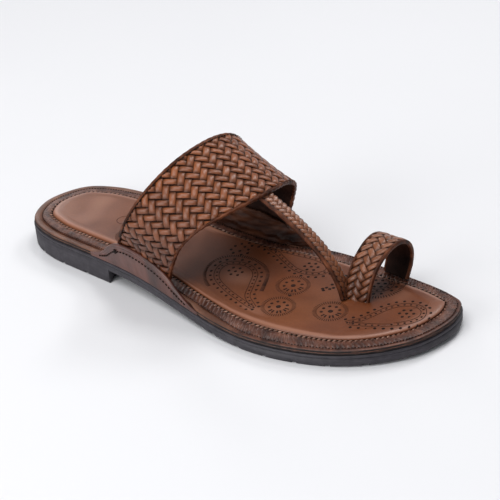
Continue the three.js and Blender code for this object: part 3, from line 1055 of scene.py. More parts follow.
    def ribs(self, distance: float, across: float, x: float) -> float:
        """Height of the crimps: faint round the heel, strong and slanted over the forefoot.

        Args:
            distance: Millimetres round the ring.
            across: Millimetres from the rim.
            x: Station along the sole.

        Returns:
            The height.
        """
        strength = mix(self.rib_heel, self.rib_ball, smooth(x, 118, 175))
        wander = 0.7 * uneven(distance, across, 0.0, 7.0)
        wave = abs(math.sin(math.pi * (distance + 0.55 * across + wander) / self.stitch_pitch))
        pinch = math.sin(math.pi * clamp(0.1 + 0.9 * across / (self.bed_edge_at(x) - self.rim_at(x)))) ** 0.4
        return strength * (wave - 0.62) * pinch + 0.10 * uneven(distance, across * 2, 3.0, 1.3)

    def crimped_band(self) -> bpy.types.Object:
        """Crimped leather ring sewn on the rim round the footbed."""
        half = 860
        ring = self.outline.ring(half)
        step = sum(curve.length for curve in self.outline.halves.values()) / (2 * half)
        marks = {id(edge): k * step for k, edge in enumerate(ring)}
        low, settled, full_ribs = self.last.bed_low, 0.86, 1.2

        def level(fold: Fold) -> Callable[[EdgePoint], Vector]:
            """Level of the band, as shares of its width and of its crown."""
            def place(edge: EdgePoint) -> Vector:
                """Point of the level inside one edge point."""
                x = edge.place.x
                across = fold.inset * (self.bed_edge_at(x) - self.rim_at(x))
                point = edge.place + edge.inward * (self.rim_at(x) + across)
                rib = self.ribs(marks[id(edge)], across, x) * min(1.0, fold.height * full_ribs)
                point.z = low(x) + self.crimp_proud * fold.height * settled + rib
                return point
            return place

        levels = [level(fold) for fold in self.crimp_section]
        mesh = ring_shell(ring, levels, wrapped=True)
        return self.shop.piece("crimped_band_leather", mesh, Node.CRIMPED_BAND, self.finishes.crimped)

    def footbed(self) -> bpy.types.Object:
        """Padded insole with a rolled shoulder and a nearly flat top."""
        last = self.last

        def start(extra: float) -> Callable[[float], float]:
            """Inset of a level from the outline."""
            return lambda x: (self.bed_edge_at(x) + GAP
                              + extra * mix(1.0, self.toe_roll, smooth(x, 238, 268)))

        def height(share: float) -> Callable[[float], float]:
            """Height at a share of the thickness."""
            return lambda x: last.bed_low(x) + self.bed_thickness * share

        side = [self.at(start(fold.inset), height(fold.height)) for fold in self.bed_roll]

        def top(point: Vector) -> float:
            """Height of the top face, a little uneven from the padding."""
            soft = 0.12 * uneven(point.x, point.y, 0.0, 26.0)
            return height(1.0)(point.x) + soft

        above = self.centre_fill(18, start(self.bed_roll[-1].inset), top)
        under = self.centre_fill(3, start(self.bed_roll[0].inset), lambda p: last.bed_low(p.x))
        mesh = ring_shell(self.outline.ring(260), [*reversed(under), *side, *above])
        # Painted highlight: share of a paler colour on the rolled shoulder and at the toe end, where the pad
        # catches the light.
        coat_and_painted_highlight = mesh.verts.layers.float.new("coat_and_painted_highlight")
        for vert in mesh.verts:
            vert[coat_and_painted_highlight] = self.painted_highlight(vert.co.x, height(1.0)(vert.co.x) - vert.co.z)
        bed = self.shop.piece("footbed_pad", mesh, Node.FOOTBED, self.finishes.footbed)
        return bed

    @staticmethod
    def painted_highlight(x: float, drop: float) -> float:
        """Share of painted highlight on the footbed's rolled shoulder and towards the toe.

        Args:
            x: Station along the sole.
            drop: Depth below the top face.

        Returns:
            Share of the paler colour of the painted highlight.
        """
        above = 1.0 - smooth(drop, 0.35, 0.8)
        return max(smooth(drop, 0.02, 0.12) * above, 0.45 * smooth(x, 256.0, 275.0) * above)

    def stitches(self) -> None:
        """Rope-like inner row with dark beads as painted shade of its holes, and the fine row along the rim.
        """
        last = self.last
        inner, holes, fine = bmesh.new(), bmesh.new(), bmesh.new()
        seam = self.outline.inset(lambda x: self.bed_edge_at(x) - 0.75)
        for point, along, _ in seam.walk(self.stitch_pitch):
            inward = Vector((-along.y, along.x, 0.0))
            point.z = last.bed_low(point.x) + self.crimp_proud * 0.92
            heading = (along + inward * 0.8).normalized()
            add_bead(inner, along_frame(point, heading, UP), 0.6, (2.2, 0.95, 0.85), rows=5)
            # Dark bead beside each stitch: painted shade of the stitch hole.
            hole = point + along * self.stitch_pitch / 2.0 + inward * 0.25
            add_bead(holes, along_frame(hole, along, UP), 0.85, (0.8, 0.85, 0.4))
        edge = self.outline.inset(lambda x: self.rim_at(x) + 0.4)
        for point, along, _ in edge.walk(self.fine_pitch):
            point.z = last.bed_low(point.x) + self.crimp_proud * 0.52
            add_bead(fine, along_frame(point, along, UP), 0.6, (1.0, 0.5, 0.5), sides=6)
        for name, mesh, thread in (("inner_stitches", inner, self.finishes.thread),
                                   ("inner_stitch_holes", holes, self.finishes.dark_thread),
                                   ("rim_stitches", fine, self.finishes.dark_thread)):
            self.shop.piece(name, mesh, Node.CRIMPED_BAND, thread)

    def build(self) -> bpy.types.Object:
        """Builds the whole sole and gives back the footbed."""
        self.outsole()
        self.board()
        self.crimped_band()
        self.stitches()
        return self.footbed()


# ------------------------------------------------------------------ ornament
@dataclass(frozen=True)
class Paisley:
    """A pressed teardrop: double line with dots between, outer dots and, if any, a fringe."""

    corners: tuple[tuple[float, float], ...]
    cluster: tuple[float, float]
    fringe: tuple[float, float] | None = None


@dataclass
class Ornament:
    """Punched marks on the footbed, laid on its surface."""

    shop: Workshop
    finishes: Finishes
    ground: BVHTree
    dot: float = 0.86
    stroke: float = 0.36
    lift: float = 0.03
    line_gap: float = 1.45
    towards_wearer: float = -0.9
    paisleys: tuple[Paisley, ...] = (
        Paisley(((143.2, -13.0), (143.6, -6.5), (149.0, -1.8), (156.7, -1.0), (163.0, -4.9),
                 (168.1, -15.5), (172.9, -25.9), (182.2, -33.1), (169.3, -30.2), (157.3, -26.3),
                 (147.5, -20.8)),
                (152.3, -9.5), fringe=(0.87, 1.42)),
        Paisley(((154.0, 20.6), (162.0, 19.0), (169.5, 15.4), (179.9, 11.2), (187.6, 11.2),
                 (194.2, 14.5), (196.3, 20.0), (191.5, 25.0), (183.3, 26.2), (170.7, 24.3),
                 (162.0, 22.6)),
                (185.9, 18.2)),
        Paisley(((236.9, 21.5), (234.8, 27.3), (229.0, 28.8), (221.0, 27.0), (211.0, 22.5), (220.5, 18.5),
                 (226.0, 14.6), (231.5, 14.2), (235.5, 17.0)), (229.5, 21.5), fringe=(0.72, 1.22)),
        Paisley(((236.5, -20.6), (242.0, -13.9), (245.3, -5.8), (248.3, 1.8), (253.4, 8.2),
                 (261.0, 11.1), (267.0, 8.5), (270.2, 1.9), (267.3, -5.4), (260.9, -11.2),
                 (252.7, -15.4), (244.7, -18.4)),
                (260.6, 1.8)),
    )
    rosettes: tuple[tuple[float, float], ...] = (
        (79, -13), (78, 8), (188.3, -3.4), (193.6, -25.2), (222, -15.4),
    )
    loose_dots: tuple[tuple[float, float], ...] = (
        (145.2, 20.7), (148.5, 20.7), (141.9, 18.3), (148.7, 18.1), (144.9, 16.7), (138.7, 14.9),
        (142.0, 13.6), (145.3, 12.5), (137.0, 11.1), (142.0, 8.5), (147.0, 9.3), (137.2, 6.7),
        (145.0, 5.8), (140.2, 4.7), (192.7, -12.8), (207.3, 8.1), (206.3, 3.8), (208.7, 3.5),
        (205.0, 1.9), (206.4, 0.6), (209.9, 5.5),
    )
    size_mark: tuple[float, float] = (63.0, -1.0)
    size_radius: float = 4.4
    size_strokes: int = 24
    outer_ring: float = 3.6
    fringe_ring: float = 7.0
    fringe_per_mm: float = 1.25
    flower_dots: float = 5.1
    petal_ring: float = 5.6
    flower_fringe: float = 8.9
    flower_strokes: int = 46

    def __post_init__(self) -> None:
        """Starts the meshes of dots and of lines."""
        self.dots, self.lines = bmesh.new(), bmesh.new()

    def on_bed(self, x: float, y: float, along: Vector) -> Matrix | None:
        """Where a mark lies on the footbed.

        Args:
            x: Its place along the sole.
            y: Its place across the sole.
            along: Direction of the mark.

        Returns:
            Matrix that sets the mark down, or nothing beyond the footbed's edge.
        """
        hit, normal, _, _ = self.ground.ray_cast(Vector((x, y, 60.0)), -UP)
        return along_frame(hit + normal * self.lift, along, normal) if hit else None

    def punch(self, x: float, y: float, radius: float) -> None:
        """Adds one round mark."""
        at = self.on_bed(x, y, Vector((1.0, 0.0, 0.0)))
        if at:
            bmesh.ops.create_cone(self.dots, cap_ends=True, cap_tris=False, segments=9, radius1=radius,
                                  radius2=radius * 0.6, depth=0.06, matrix=at)

    def dash(self, x: float, y: float, along: Vector, length: float, width: float) -> None:
        """Adds one short pressed stroke.

        Args:
            x: Its place along the sole.
            y: Its place across the sole.
            along: Its direction.
            length: Its length.
            width: Its width.
        """
        at = self.on_bed(x, y, along)
        if at:
            size = Matrix.Diagonal((length, width, 0.05, 1.0))
            bmesh.ops.create_cube(self.lines, size=1.0, matrix=at @ size)

    def spoke(self, x: float, y: float, turn: float, radius: float, length: float, width: float) -> None:
        """Adds a stroke that points away from the middle of a flower."""
        out = Vector((math.cos(turn), math.sin(turn), 0.0))
        self.dash(x + radius * out.x, y + radius * out.y, out, length, width)

    def line(self, curve: Curve, out: float) -> None:
        """Adds a fine pressed line beside a contour."""
        points = [curve.at(d) + self.outward(curve, d) * out for d in self.steps(curve, 1.0)]
        for start, end in zip(points, points[1:] + points[:1]):
            if (end - start).length < 3.0:
                middle = (start + end) / 2.0
                self.dash(middle.x, middle.y, end - start, (end - start).length * 1.04, self.stroke)

    @staticmethod
    def steps(curve: Curve, pitch: float) -> list[float]:
        """Even distances round a closed curve."""
        count = max(3, round(curve.length / pitch))
        return [curve.length * k / count for k in range(count)]

    @staticmethod
    def outward(curve: Curve, distance: float) -> Vector:
        """Direction that leads out of a clockwise contour."""
        along = curve.along(distance)
        return Vector((-along.y, along.x, 0.0))

    def paisley(self, shape: Paisley) -> None:
        """Adds one teardrop with its dots, lines and fringe."""
        corners = [Vector((x, y, 0.0)) for x, y in shape.corners]
        area = sum(a.x * b.y - b.x * a.y for a, b in zip(corners, corners[1:] + corners[:1]))
        if area > 0.0:
            corners.reverse()
        curve = Curve.through(corners, closed=True)
        for distance in self.steps(curve, 3.6):
            spot = curve.at(distance)
            self.punch(spot.x, spot.y, self.dot * 0.85)
        for out in (-self.line_gap, self.line_gap):
            self.line(curve, out)
        ringed = Curve([curve.at(d) + self.outward(curve, d) * self.outer_ring
                        for d in self.steps(curve, 1.2)])
        for spot, _, _ in ringed.walk(4.5):
            self.punch(spot.x, spot.y, self.dot * 1.15)
        if shape.fringe:
            start, end = (share * curve.length for share in shape.fringe)
            for k in range(round((end - start) * self.fringe_per_mm)):
                distance = (start + k / self.fringe_per_mm) % curve.length
                out = self.outward(curve, distance)
                spot = curve.at(distance) + out * self.fringe_ring
                self.dash(spot.x, spot.y, out, 2.4, 0.5)
        self.cluster(*shape.cluster, 3.9, 6)

    def cluster(self, x: float, y: float, radius: float, count: int) -> None:
        """Adds a dot with a ring of dots round it."""
        self.punch(x, y, self.dot * 1.2)
        for k in range(count):
            turn = math.tau * (k + 0.4) / count
            self.punch(x + radius * math.cos(turn), y + radius * math.sin(turn), self.dot * 1.2)

    def rosette(self, x: float, y: float) -> None:
        """Adds a small flower: eye, half a ring of dots, three pairs of petals and a fringe."""
        self.punch(x, y, self.dot * 1.8)
        for k in range(5):
            turn = self.towards_wearer + math.pi + 0.75 * (k - 2)
            self.punch(x + self.flower_dots * math.cos(turn), y + self.flower_dots * math.sin(turn),
                       self.dot * 1.15)
        for k in range(6):
            turn = self.towards_wearer + 0.8 * (k // 2 - 1) + 0.32 * (k % 2 - 0.5)
            self.spoke(x, y, turn, self.petal_ring, 2.6, 0.95)
        for k in range(self.flower_strokes):
            turn = math.tau * k / self.flower_strokes
            self.spoke(x, y, turn, self.flower_fringe, 2.3, 0.40)

    def build(self) -> None:
        """Lays out all the marks and makes the two pieces."""
        for shape in self.paisleys:
            self.paisley(shape)
        for x, y in self.rosettes:
            self.rosette(x, y)
        for x, y in self.loose_dots:
            self.punch(x, y, self.dot * 1.2)
        x, y = self.size_mark
        for k in range(self.size_strokes):
            turn = math.tau * k / self.size_strokes
            self.dash(x + self.size_radius * math.cos(turn), y + self.size_radius * math.sin(turn),
                      Vector((-math.sin(turn), math.cos(turn), 0.0)), 1.18, 0.3)
        self.shop.piece("footbed_dots", self.dots, Node.FOOTBED, self.finishes.pressed)
        self.shop.piece("footbed_lines", self.lines, Node.FOOTBED, self.finishes.pressed)


# ------------------------------------------------------------------ walls of the upper
@dataclass(frozen=True)
class EdgeRow:
    """The two edges of a strip's outer face at one place: rear edge, then front edge."""

    rear: Triple
    front: Triple


class Wall:
    """A strip of leather between two edges: where its outer face runs, and which way is out."""

    def __init__(self, rows: Sequence[tuple[Vector, Vector]]) -> None:
        """Works out lengths and outward directions.

        Args:
            rows: Rear and front point of each row, close together.
        """
        self.rows = list(rows)
        middle = Curve([(rear + front) / 2.0 for rear, front in self.rows])
        self.marks, self.length = middle.marks, middle.length
        self.width = sum((front - rear).length for rear, front in self.rows) / len(self.rows)
        self.out = []
        for k, (rear, front) in enumerate(self.rows):
            before, after = self.rows[max(k - 1, 0)], self.rows[min(k + 1, len(self.rows) - 1)]
            self.out.append([(front - rear).cross(after[e] - before[e]).normalized() for e in (0, 1)])

    def unroll(self) -> None:
        """Lays the strip flat, triangle by triangle, with its middle row square across."""
        def corner(start: Vector, end: Vector, from_start: float, from_end: float) -> Vector:
            """Third corner of a triangle, on the side that the strip runs to."""
            base = end - start
            along = (from_start ** 2 - from_end ** 2 + base.length_squared) / (2.0 * base.length)
            rise = math.sqrt(max(from_start ** 2 - along ** 2, 0.0))
            unit = base.normalized()
            return start + unit * along + Vector((unit.y, -unit.x)) * rise

        flat = [(Vector((0.0, 0.0)), Vector((0.0, (self.rows[0][1] - self.rows[0][0]).length)))]
        for (rear, front), (next_rear, next_front) in zip(self.rows, self.rows[1:]):
            low, high = flat[-1]
            new_rear = corner(low, high, (next_rear - rear).length, (next_rear - front).length)
            flat.append((new_rear, corner(new_rear, high, (next_front - next_rear).length,
                                          (next_front - front).length)))
        origin, upper = flat[len(flat) // 2]
        upward = (upper - origin).normalized()
        turn = Matrix(((upward.y, -upward.x), (upward.x, upward.y)))
        self.flat = [(turn @ (rear - origin), turn @ (front - origin)) for rear, front in flat]

    def flat_reach(self, axis: int) -> tuple[float, float]:
        """Least and greatest coordinate of the strip laid flat."""
        values = [point[axis] for row in self.flat for point in row]
        return min(values), max(values)

    def from_flat(self, place: Vector) -> tuple[float, float]:
        """Distance along and millimetres across for a place of the strip laid flat."""
        def past(k: int) -> float:
            """How far the place lies past one row."""
            rear, front = self.flat[k]
            return (place - rear).cross((front - rear).normalized())

        k = bisect_left(range(len(self.flat)), True, key=lambda row: past(row) < 0.0)
        k = min(max(k, 1), len(self.flat) - 1)
        share = past(k - 1) / max(past(k - 1) - past(k), 1e-9)
        rear = self.flat[k - 1][0].lerp(self.flat[k][0], share)
        reach = self.flat[k - 1][1].lerp(self.flat[k][1], share) - rear
        across = (place - rear).dot(reach) / reach.length_squared
        return mix(self.marks[k - 1], self.marks[k], share), across * self.width

    @classmethod
    def between(cls, table: Sequence[EdgeRow], steps: int) -> "Wall":
        """Rounds a table of edge rows off into a strip."""
        return cls(cls.spread(table, steps))

    @staticmethod
    def spread(table: Sequence[EdgeRow], steps: int) -> list[tuple[Vector, Vector]]:
        """Rows at even steps along both edges of a table."""
        rear = Curve.through([Vector(row.rear) for row in table]).spaced(steps)
        front = Curve.through([Vector(row.front) for row in table]).spaced(steps)
        return list(zip(rear, front))

    def at(self, distance: float, across: float, lift: float = 0.0) -> Vector:
        """Point over the strip.

        Args:
            distance: Millimetres along its middle line.
            across: Share of the way from the rear edge to the front edge.
            lift: Millimetres out from the outer face.

        Returns:
            The point.
        """
        k = min(max(bisect_right(self.marks, distance), 1), len(self.rows) - 1)
        share = (distance - self.marks[k - 1]) / max(self.marks[k] - self.marks[k - 1], 1e-9)
        low, high = self.rows[k - 1], self.rows[k]
        point = low[0].lerp(high[0], share).lerp(low[1].lerp(high[1], share), across)
        if lift:
            held = clamp(share)
            ways = [self.out[k - 1][e].lerp(self.out[k][e], held) for e in (0, 1)]
            point = point + ways[0].lerp(ways[1], clamp(across)).normalized() * lift
        return point

    def normal(self, distance: float, across: float) -> Vector:
        """Outward direction at a place of the strip."""
        return (self.at(distance, across, 1.0) - self.at(distance, across)).normalized()

    def slab(self, lift: float, thickness: float, margin: float, start: float, stop: float,
             ripple: float = 0.0) -> bmesh.types.BMesh:
        """Solid leather layer of the strip.

        Args:
            lift: Its outer face over the strip's outer face, negative for under it.
            thickness: Its thickness.
            margin: Millimetres left free at both edges.
            start: Where it starts along the strip.
            stop: Where it stops.
            ripple: Height of soft wrinkles.

        Returns:
            The layer's mesh.
        """
        low, high = margin / self.width, 1.0 - margin / self.width
        corner = 0.5 * min(thickness, 1.2)
        inside = corner / self.width
        spots = [low + inside, *(mix(low, high, share) for share in (0.25, 0.5, 0.75)), high - inside]
        outer = [(low, -corner), *((spot, 0.0) for spot in spots), (high, -corner)]
        inner = [(spot, -thickness) for spot in reversed(spots)]
        section = [*outer, (high, corner - thickness), *inner, (low, corner - thickness)]

        def place(u: float, v: float) -> Vector:
            """Point of the section at one place along the strip."""
            across, drop = section[round(v * len(section)) % len(section)]
            distance = mix(start, stop, u)
            wave = ripple * uneven(distance, across * self.width, 0.0, 5.0) if drop < -corner else 0.0
            return self.at(distance, across, lift + drop + wave)

        return loft(max(8, round((stop - start) / 1.2)), len(section), place)

    def edge_roll(self, across: float, half_width: float, half_height: float, depth: float,
                  start: float, stop: float, lump: float = 0.06, twist: float = 0.0) -> bmesh.types.BMesh:
        """Folded binding round one edge of the strip.

        Args:
            across: Millimetres from the rear edge to the roll's middle.
            half_width: Half its width along the face.
            half_height: Half its height through the wall.
            depth: How far its middle lies under the outer face.
            start: Where it starts along the strip.
            stop: Where it stops.
            lump: Unevenness of the fold.
            twist: Depth of the slanting notches of a laced edge.

        Returns:
            The binding's mesh.
        """
        sides = 14

        def squared(value: float) -> float:
            """A sine or cosine pushed out from a circle towards a square."""
            return math.copysign(abs(value) ** 0.62, value)

        def place(u: float, v: float) -> Vector:
            """Point of the rounded section at one place along the edge."""
            turn = math.tau * v
            wide = squared(math.cos(turn)) * half_width
            high = squared(math.sin(turn)) * half_height
            distance = mix(start, stop, u)
            notch = twist * abs(math.sin(distance * 0.7 + turn / 2.0))
            swell = 1.0 + lump * uneven(distance, turn, across, 4.0) - notch
            return self.at(distance, (across + wide * swell) / self.width, high * swell - depth)

        return loft(max(8, round((stop - start) / 0.9)), sides, place)


@dataclass(frozen=True)
class Weave:
    """Two-over-two herringbone of leather strips, every float a domed pad of its own."""

    strip: float
    wales: Wales
    crest: float = 0.55
    dip: float = 0.75
    slender: float = 0.84
    broad: float = 1.04
    rear_margin: float = 0.8
    front_margin: float = 0.8
    # Heights in mm over which the floats turn paler: painted light, lighter higher up.
    burnished: tuple[float, float] = (12.0, 40.0)
    seed: int = 1

    def lay(self, wall: Wall, start: float, stop: float) -> bmesh.types.BMesh:
        """Covers a strip with floats.

        Args:
            wall: The strip.
            start: Where the weave starts along it.
            stop: Where it stops.

        Returns:
            The mesh of all the floats, with tone attribute and UV map.
        """
        mesh = bmesh.new()
        tone_and_painted_light = mesh.verts.layers.float.new("tone_and_painted_light")
        draw = random.Random(self.seed)
        pitch = self.strip * math.sqrt(2.0)
        if self.wales is Wales.ACROSS:
            wall.unroll()
            wale_reach, row_reach, step = wall.flat_reach(0), wall.flat_reach(1), pitch
        else:
            free = wall.width - self.rear_margin - self.front_margin
            wale_reach, row_reach = (0.0, free), (0.0, stop - start)
            step = free / max(2, round(free / pitch))
        slack = 0.8 * pitch
        for wale in range(math.floor(wale_reach[0] / step), math.ceil(wale_reach[1] / step)):
            leans, offset = (1.0, 0.75) if wale % 2 == 0 else (-1.0, 0.25)
            for row in range(math.floor(row_reach[0] / pitch) - 1, math.ceil(row_reach[1] / pitch) + 1):
                middle = Vector(((wale + 0.5) * step, (row + offset) * pitch))
                distance, across = self.on_wall(wall, start, middle)
                inside = self.rear_margin - slack < across < wall.width - self.front_margin + slack
                if inside and start - slack < distance < stop + slack:
                    height = wall.at(distance, across / wall.width).z
                    # Tone: 45% random, 55% painted light that makes floats paler the higher they lie.
                    shade = 0.45 * draw.random() + 0.55 * smooth(height, *self.burnished)
                    for vert in self._float(mesh, wall, (start, stop), middle, leans, step / pitch):
                        vert[tone_and_painted_light] = shade
        bmesh.ops.recalc_face_normals(mesh, faces=mesh.faces)
        return mesh

    def on_wall(self, wall: Wall, start: float, place: Vector) -> tuple[float, float]:
        """Distance along and millimetres across for a place of the weave, wales first."""
        if self.wales is Wales.ACROSS:
            return wall.from_flat(place)
        return start + place.y, self.rear_margin + place.x

    def _float(self, mesh: bmesh.types.BMesh, wall: Wall, reach: tuple[float, float],
               middle: Vector, leans: float, stretch: float) -> list[bmesh.types.BMVert]:
        """Adds one float.

        Args:
            mesh: The mesh to add to.
            wall: The strip that it lies on.
            reach: Start and stop of the weave along the strip.
            middle: Its middle, across the wales and along them.
            leans: Which way it slants, 1 or -1.
            stretch: Scale across the wales.

        Returns:
            Its vertices.
        """
        steps_long = (-1.0, -0.9, -0.62, -0.22, 0.22, 0.62, 0.9, 1.0)
        steps_wide = (-1.0, -0.88, -0.5, 0.0, 0.5, 0.88, 1.0)
        edge_height = {1.0: 0.15, 0.88: 0.66, 0.5: 0.94, 0.0: 1.0}
        root = math.sqrt(0.5)

        def place(u: float, v: float) -> Vector:
            """Point of the domed pad."""
            a = steps_long[round(u * (len(steps_long) - 1))]
            b = steps_wide[round(v * (len(steps_wide) - 1))]
            run = a * self.strip * 1.1
            side = b * self.strip * 0.5 * (1.02 - 0.10 * a * a) * (self.slender if leans > 0 else self.broad)
            turned = Vector(((run * leans + side) * root * stretch, (run - side * leans) * root))
            rise = (1.0 - abs(a) ** 4.0) * edge_height[abs(b)]
            lift = mix(-self.dip, self.crest, rise)
            distance, across = self.on_wall(wall, reach[0], middle + turned)
            held = clamp(across, self.rear_margin, wall.width - self.front_margin)
            return wall.at(clamp(distance, *reach), held / wall.width, lift)

        return bend_grid(mesh, len(steps_long) - 1, len(steps_wide) - 1, place)


# ------------------------------------------------------------------ legs and panels
@dataclass(frozen=True)
class Leg:
    """Where the band goes down behind a side panel, and how far the leg leans out."""

    rear_x: float
    rear_z: float
    front_x: float
    front_z: float
    foot_rear_x: float
    foot_front_x: float
    rear_lean: float
    front_lean: float


@dataclass(frozen=True)
class Legs:
    """Both legs of the band and the face that legs and side panels share."""

    outline: Outline
    foot_inset: float = 2.5
    lateral: Leg = Leg(rear_x=93.4, rear_z=36.0, front_x=134.0, front_z=28.0, foot_rear_x=85.0,
                       foot_front_x=129.5, rear_lean=0.21, front_lean=0.0)
    medial: Leg = Leg(rear_x=102.8, rear_z=27.7, front_x=158.0, front_z=27.5, foot_rear_x=97.0,
                      foot_front_x=158.5, rear_lean=0.4, front_lean=0.25)

    def of(self, side: Side) -> Leg:
        """The leg on one side."""
        return self.medial if side is Side.MEDIAL else self.lateral

    def face(self, side: Side, x: float, z: float, out: float = 0.0) -> Vector:
        """Point of the shared face, moved out square to it.

        Args:
            side: Lateral or medial.
            x: Station along the sole.
            z: Height.
            out: Millimetres out from the face.

        Returns:
            The point.
        """
        leg = self.of(side)
        share = clamp((x - leg.foot_rear_x) / (leg.foot_front_x - leg.foot_rear_x))
        lean = mix(leg.rear_lean, leg.front_lean, share)
        rise = max(0.0, z - self.outline.last.board_top(x))
        reach = abs(self.outline.y_at(side, x)) - self.foot_inset + lean * rise + out * math.hypot(1.0, lean)
        return Vector((x, side.value * reach, z))

    def corner_row(self, side: Side) -> EdgeRow:
        """The band's edge row where a leg begins."""
        leg = self.of(side)
        rear, front = self.face(side, leg.rear_x, leg.rear_z), self.face(side, leg.front_x, leg.front_z)
        return EdgeRow(tuple(rear), tuple(front))

    def rows(self, side: Side, steps: int = 6) -> list[tuple[Vector, Vector]]:
        """Rows of a leg from its foot up to its corner row."""
        leg = self.of(side)
        made = []
        for k in range(steps + 1):
            share = k / steps
            pair = []
            for foot_x, corner_x, corner_z in ((leg.foot_rear_x, leg.rear_x, leg.rear_z),
                                               (leg.foot_front_x, leg.front_x, leg.front_z)):
                x = mix(foot_x, corner_x, share)
                foot_z = self.outline.last.board_top(x) + GAP + 0.1
                pair.append(self.face(side, x, mix(foot_z, corner_z, share)))
            made.append((pair[0], pair[1]))
        return made


@dataclass
class SidePanel:
    """Crescent of smooth leather that holds the band on one side."""

    side: Side
    node: Node
    top_edge: tuple[tuple[float, float], ...]
    legs: Legs
    shop: Workshop
    finishes: Finishes
    wall: float = 1.8
    crumple: float = 0.1
    stitch_drop: float = 5.4
    stitch_pitch: float = 2.5
    knot_x: float = 90.0

    def __post_init__(self) -> None:
        """Rounds the top edge off."""
        self.top = Curve.through([Vector((x, 0.0, z)) for x, z in self.top_edge])
        self.out = GAP + 0.1 + self.wall

    def outer(self, share: float, drop: float, out: float = 0.0) -> Vector:
        """Point of the outer face, a drop below the top edge.

        Args:
            share: Share of the top edge's length.
            drop: Millimetres below the edge.
            out: Millimetres out from the face.

        Returns:
            The point.
        """
        edge = self.top.at(self.top.length * share)
        last = self.legs.outline.last
        low = last.sole_top(edge.x) + GAP + 0.08
        z = max(low, edge.z - drop)
        wrinkle = self.crumple * (uneven(edge.x, 0.0, z * 0.3, 5.0) + 0.6 * uneven(edge.x, 7.0, z, 3.1))
        fade = smooth(drop, 2.0, 6.0) * smooth(z, low, low + 3.0)
        return self.legs.face(self.side, edge.x, z, self.out + out + wrinkle * fade)

    def shape(self) -> bmesh.types.BMesh:
        """Outer face with its rolled edge, and the inner face."""
        last = self.legs.outline.last
        roll = ((0.9, -self.wall), (0.25, 0.3 - self.wall), (0.0, -0.9), (0.12, -0.25), (0.5, 0.3),
                (1.0, 0.42), (1.5, 0.3), (1.9, -0.3), (2.3, 0.15), (2.8, 0.36), (3.3, 0.2),
                (3.7, -0.3), (4.4, 0.0))
        roll_drop, inner, outer = roll[-1][0], 4, 10
        rows = inner + len(roll) + outer - 1

        def place(u: float, v: float) -> Vector:
            """Point of the crescent's section at one place along its edge."""
            edge = self.top.at(self.top.length * u)
            low = last.sole_top(edge.x) + GAP + 0.08
            tall = max(edge.z - low, 0.5)
            shrink = min(1.0, tall / 9.0)
            skived = smooth(min(u, 1.0 - u), 0.0, 0.09)
            folded = mix(0.4, 1.0, smooth(edge.x, 96, 116))
            k = round(v * rows)
            if k < inner:
                deep = mix(tall, roll[0][0] * shrink, k / inner)
                z = max(edge.z - deep, last.board_top(edge.x) - 1.8)
                return self.legs.face(self.side, edge.x, z, self.out - mix(0.4, self.wall, skived))
            if k < inner + len(roll):
                drop, out = roll[k - inner]
                ridge = out * mix(0.2, 1.0, skived) if out < -0.5 else out * shrink * folded
                return self.legs.face(self.side, edge.x, edge.z - drop * shrink, self.out + ridge)
            share = (k - rows + outer) / outer
            return self.outer(u, mix(roll_drop * shrink, tall, share))

        return loft(150, rows, place)

    def stitches(self) -> bmesh.types.BMesh:
        """Row of dark stitches below the rolled edge."""
        mesh = bmesh.new()
        last = self.legs.outline.last
        for spot, _, distance in self.top.walk(self.stitch_pitch):
            tall = spot.z - last.sole_top(spot.x) - GAP
            if tall > 4.5:
                self.stitch(mesh, distance / self.top.length, min(self.stitch_drop, 0.5 * tall))
        knot = bisect_right(self.top.points, self.knot_x, key=lambda point: point.x)
        for k in range(5):
            share = (self.top.marks[knot] + 1.3 * math.sin(2.4 * k)) / self.top.length
            self.stitch(mesh, share, self.stitch_drop + 1.1 * math.cos(2.4 * k))
        return mesh

    def stitch(self, mesh: bmesh.types.BMesh, share: float, drop: float) -> None:
        """Adds one stitch at a share of the top edge's length and a drop below it."""
        place, ahead = self.outer(share, drop, 0.12), self.outer(min(share + 0.01, 1.0), drop, 0.12)
        normal = (self.outer(share, drop, 1.12) - place).normalized()
        add_bead(mesh, along_frame(place, ahead - place, normal), 0.9, (1.0, 0.62, 0.5))

    def build(self) -> None:
        """Makes the panel and its stitches."""
        word = self.side.name.lower()
        self.shop.piece(f"panel_{word}", self.shape(), self.node, self.finishes.panel)
        self.shop.piece(f"panel_{word}_stitches", self.stitches(), self.node, self.finishes.dark_thread)


# ------------------------------------------------------------------ upper
@dataclass(frozen=True)
class StrapRow:
    """A place of the centre strap's outer face, with the strap's width there."""

    x: float
    y: float
    z: float
    width: float


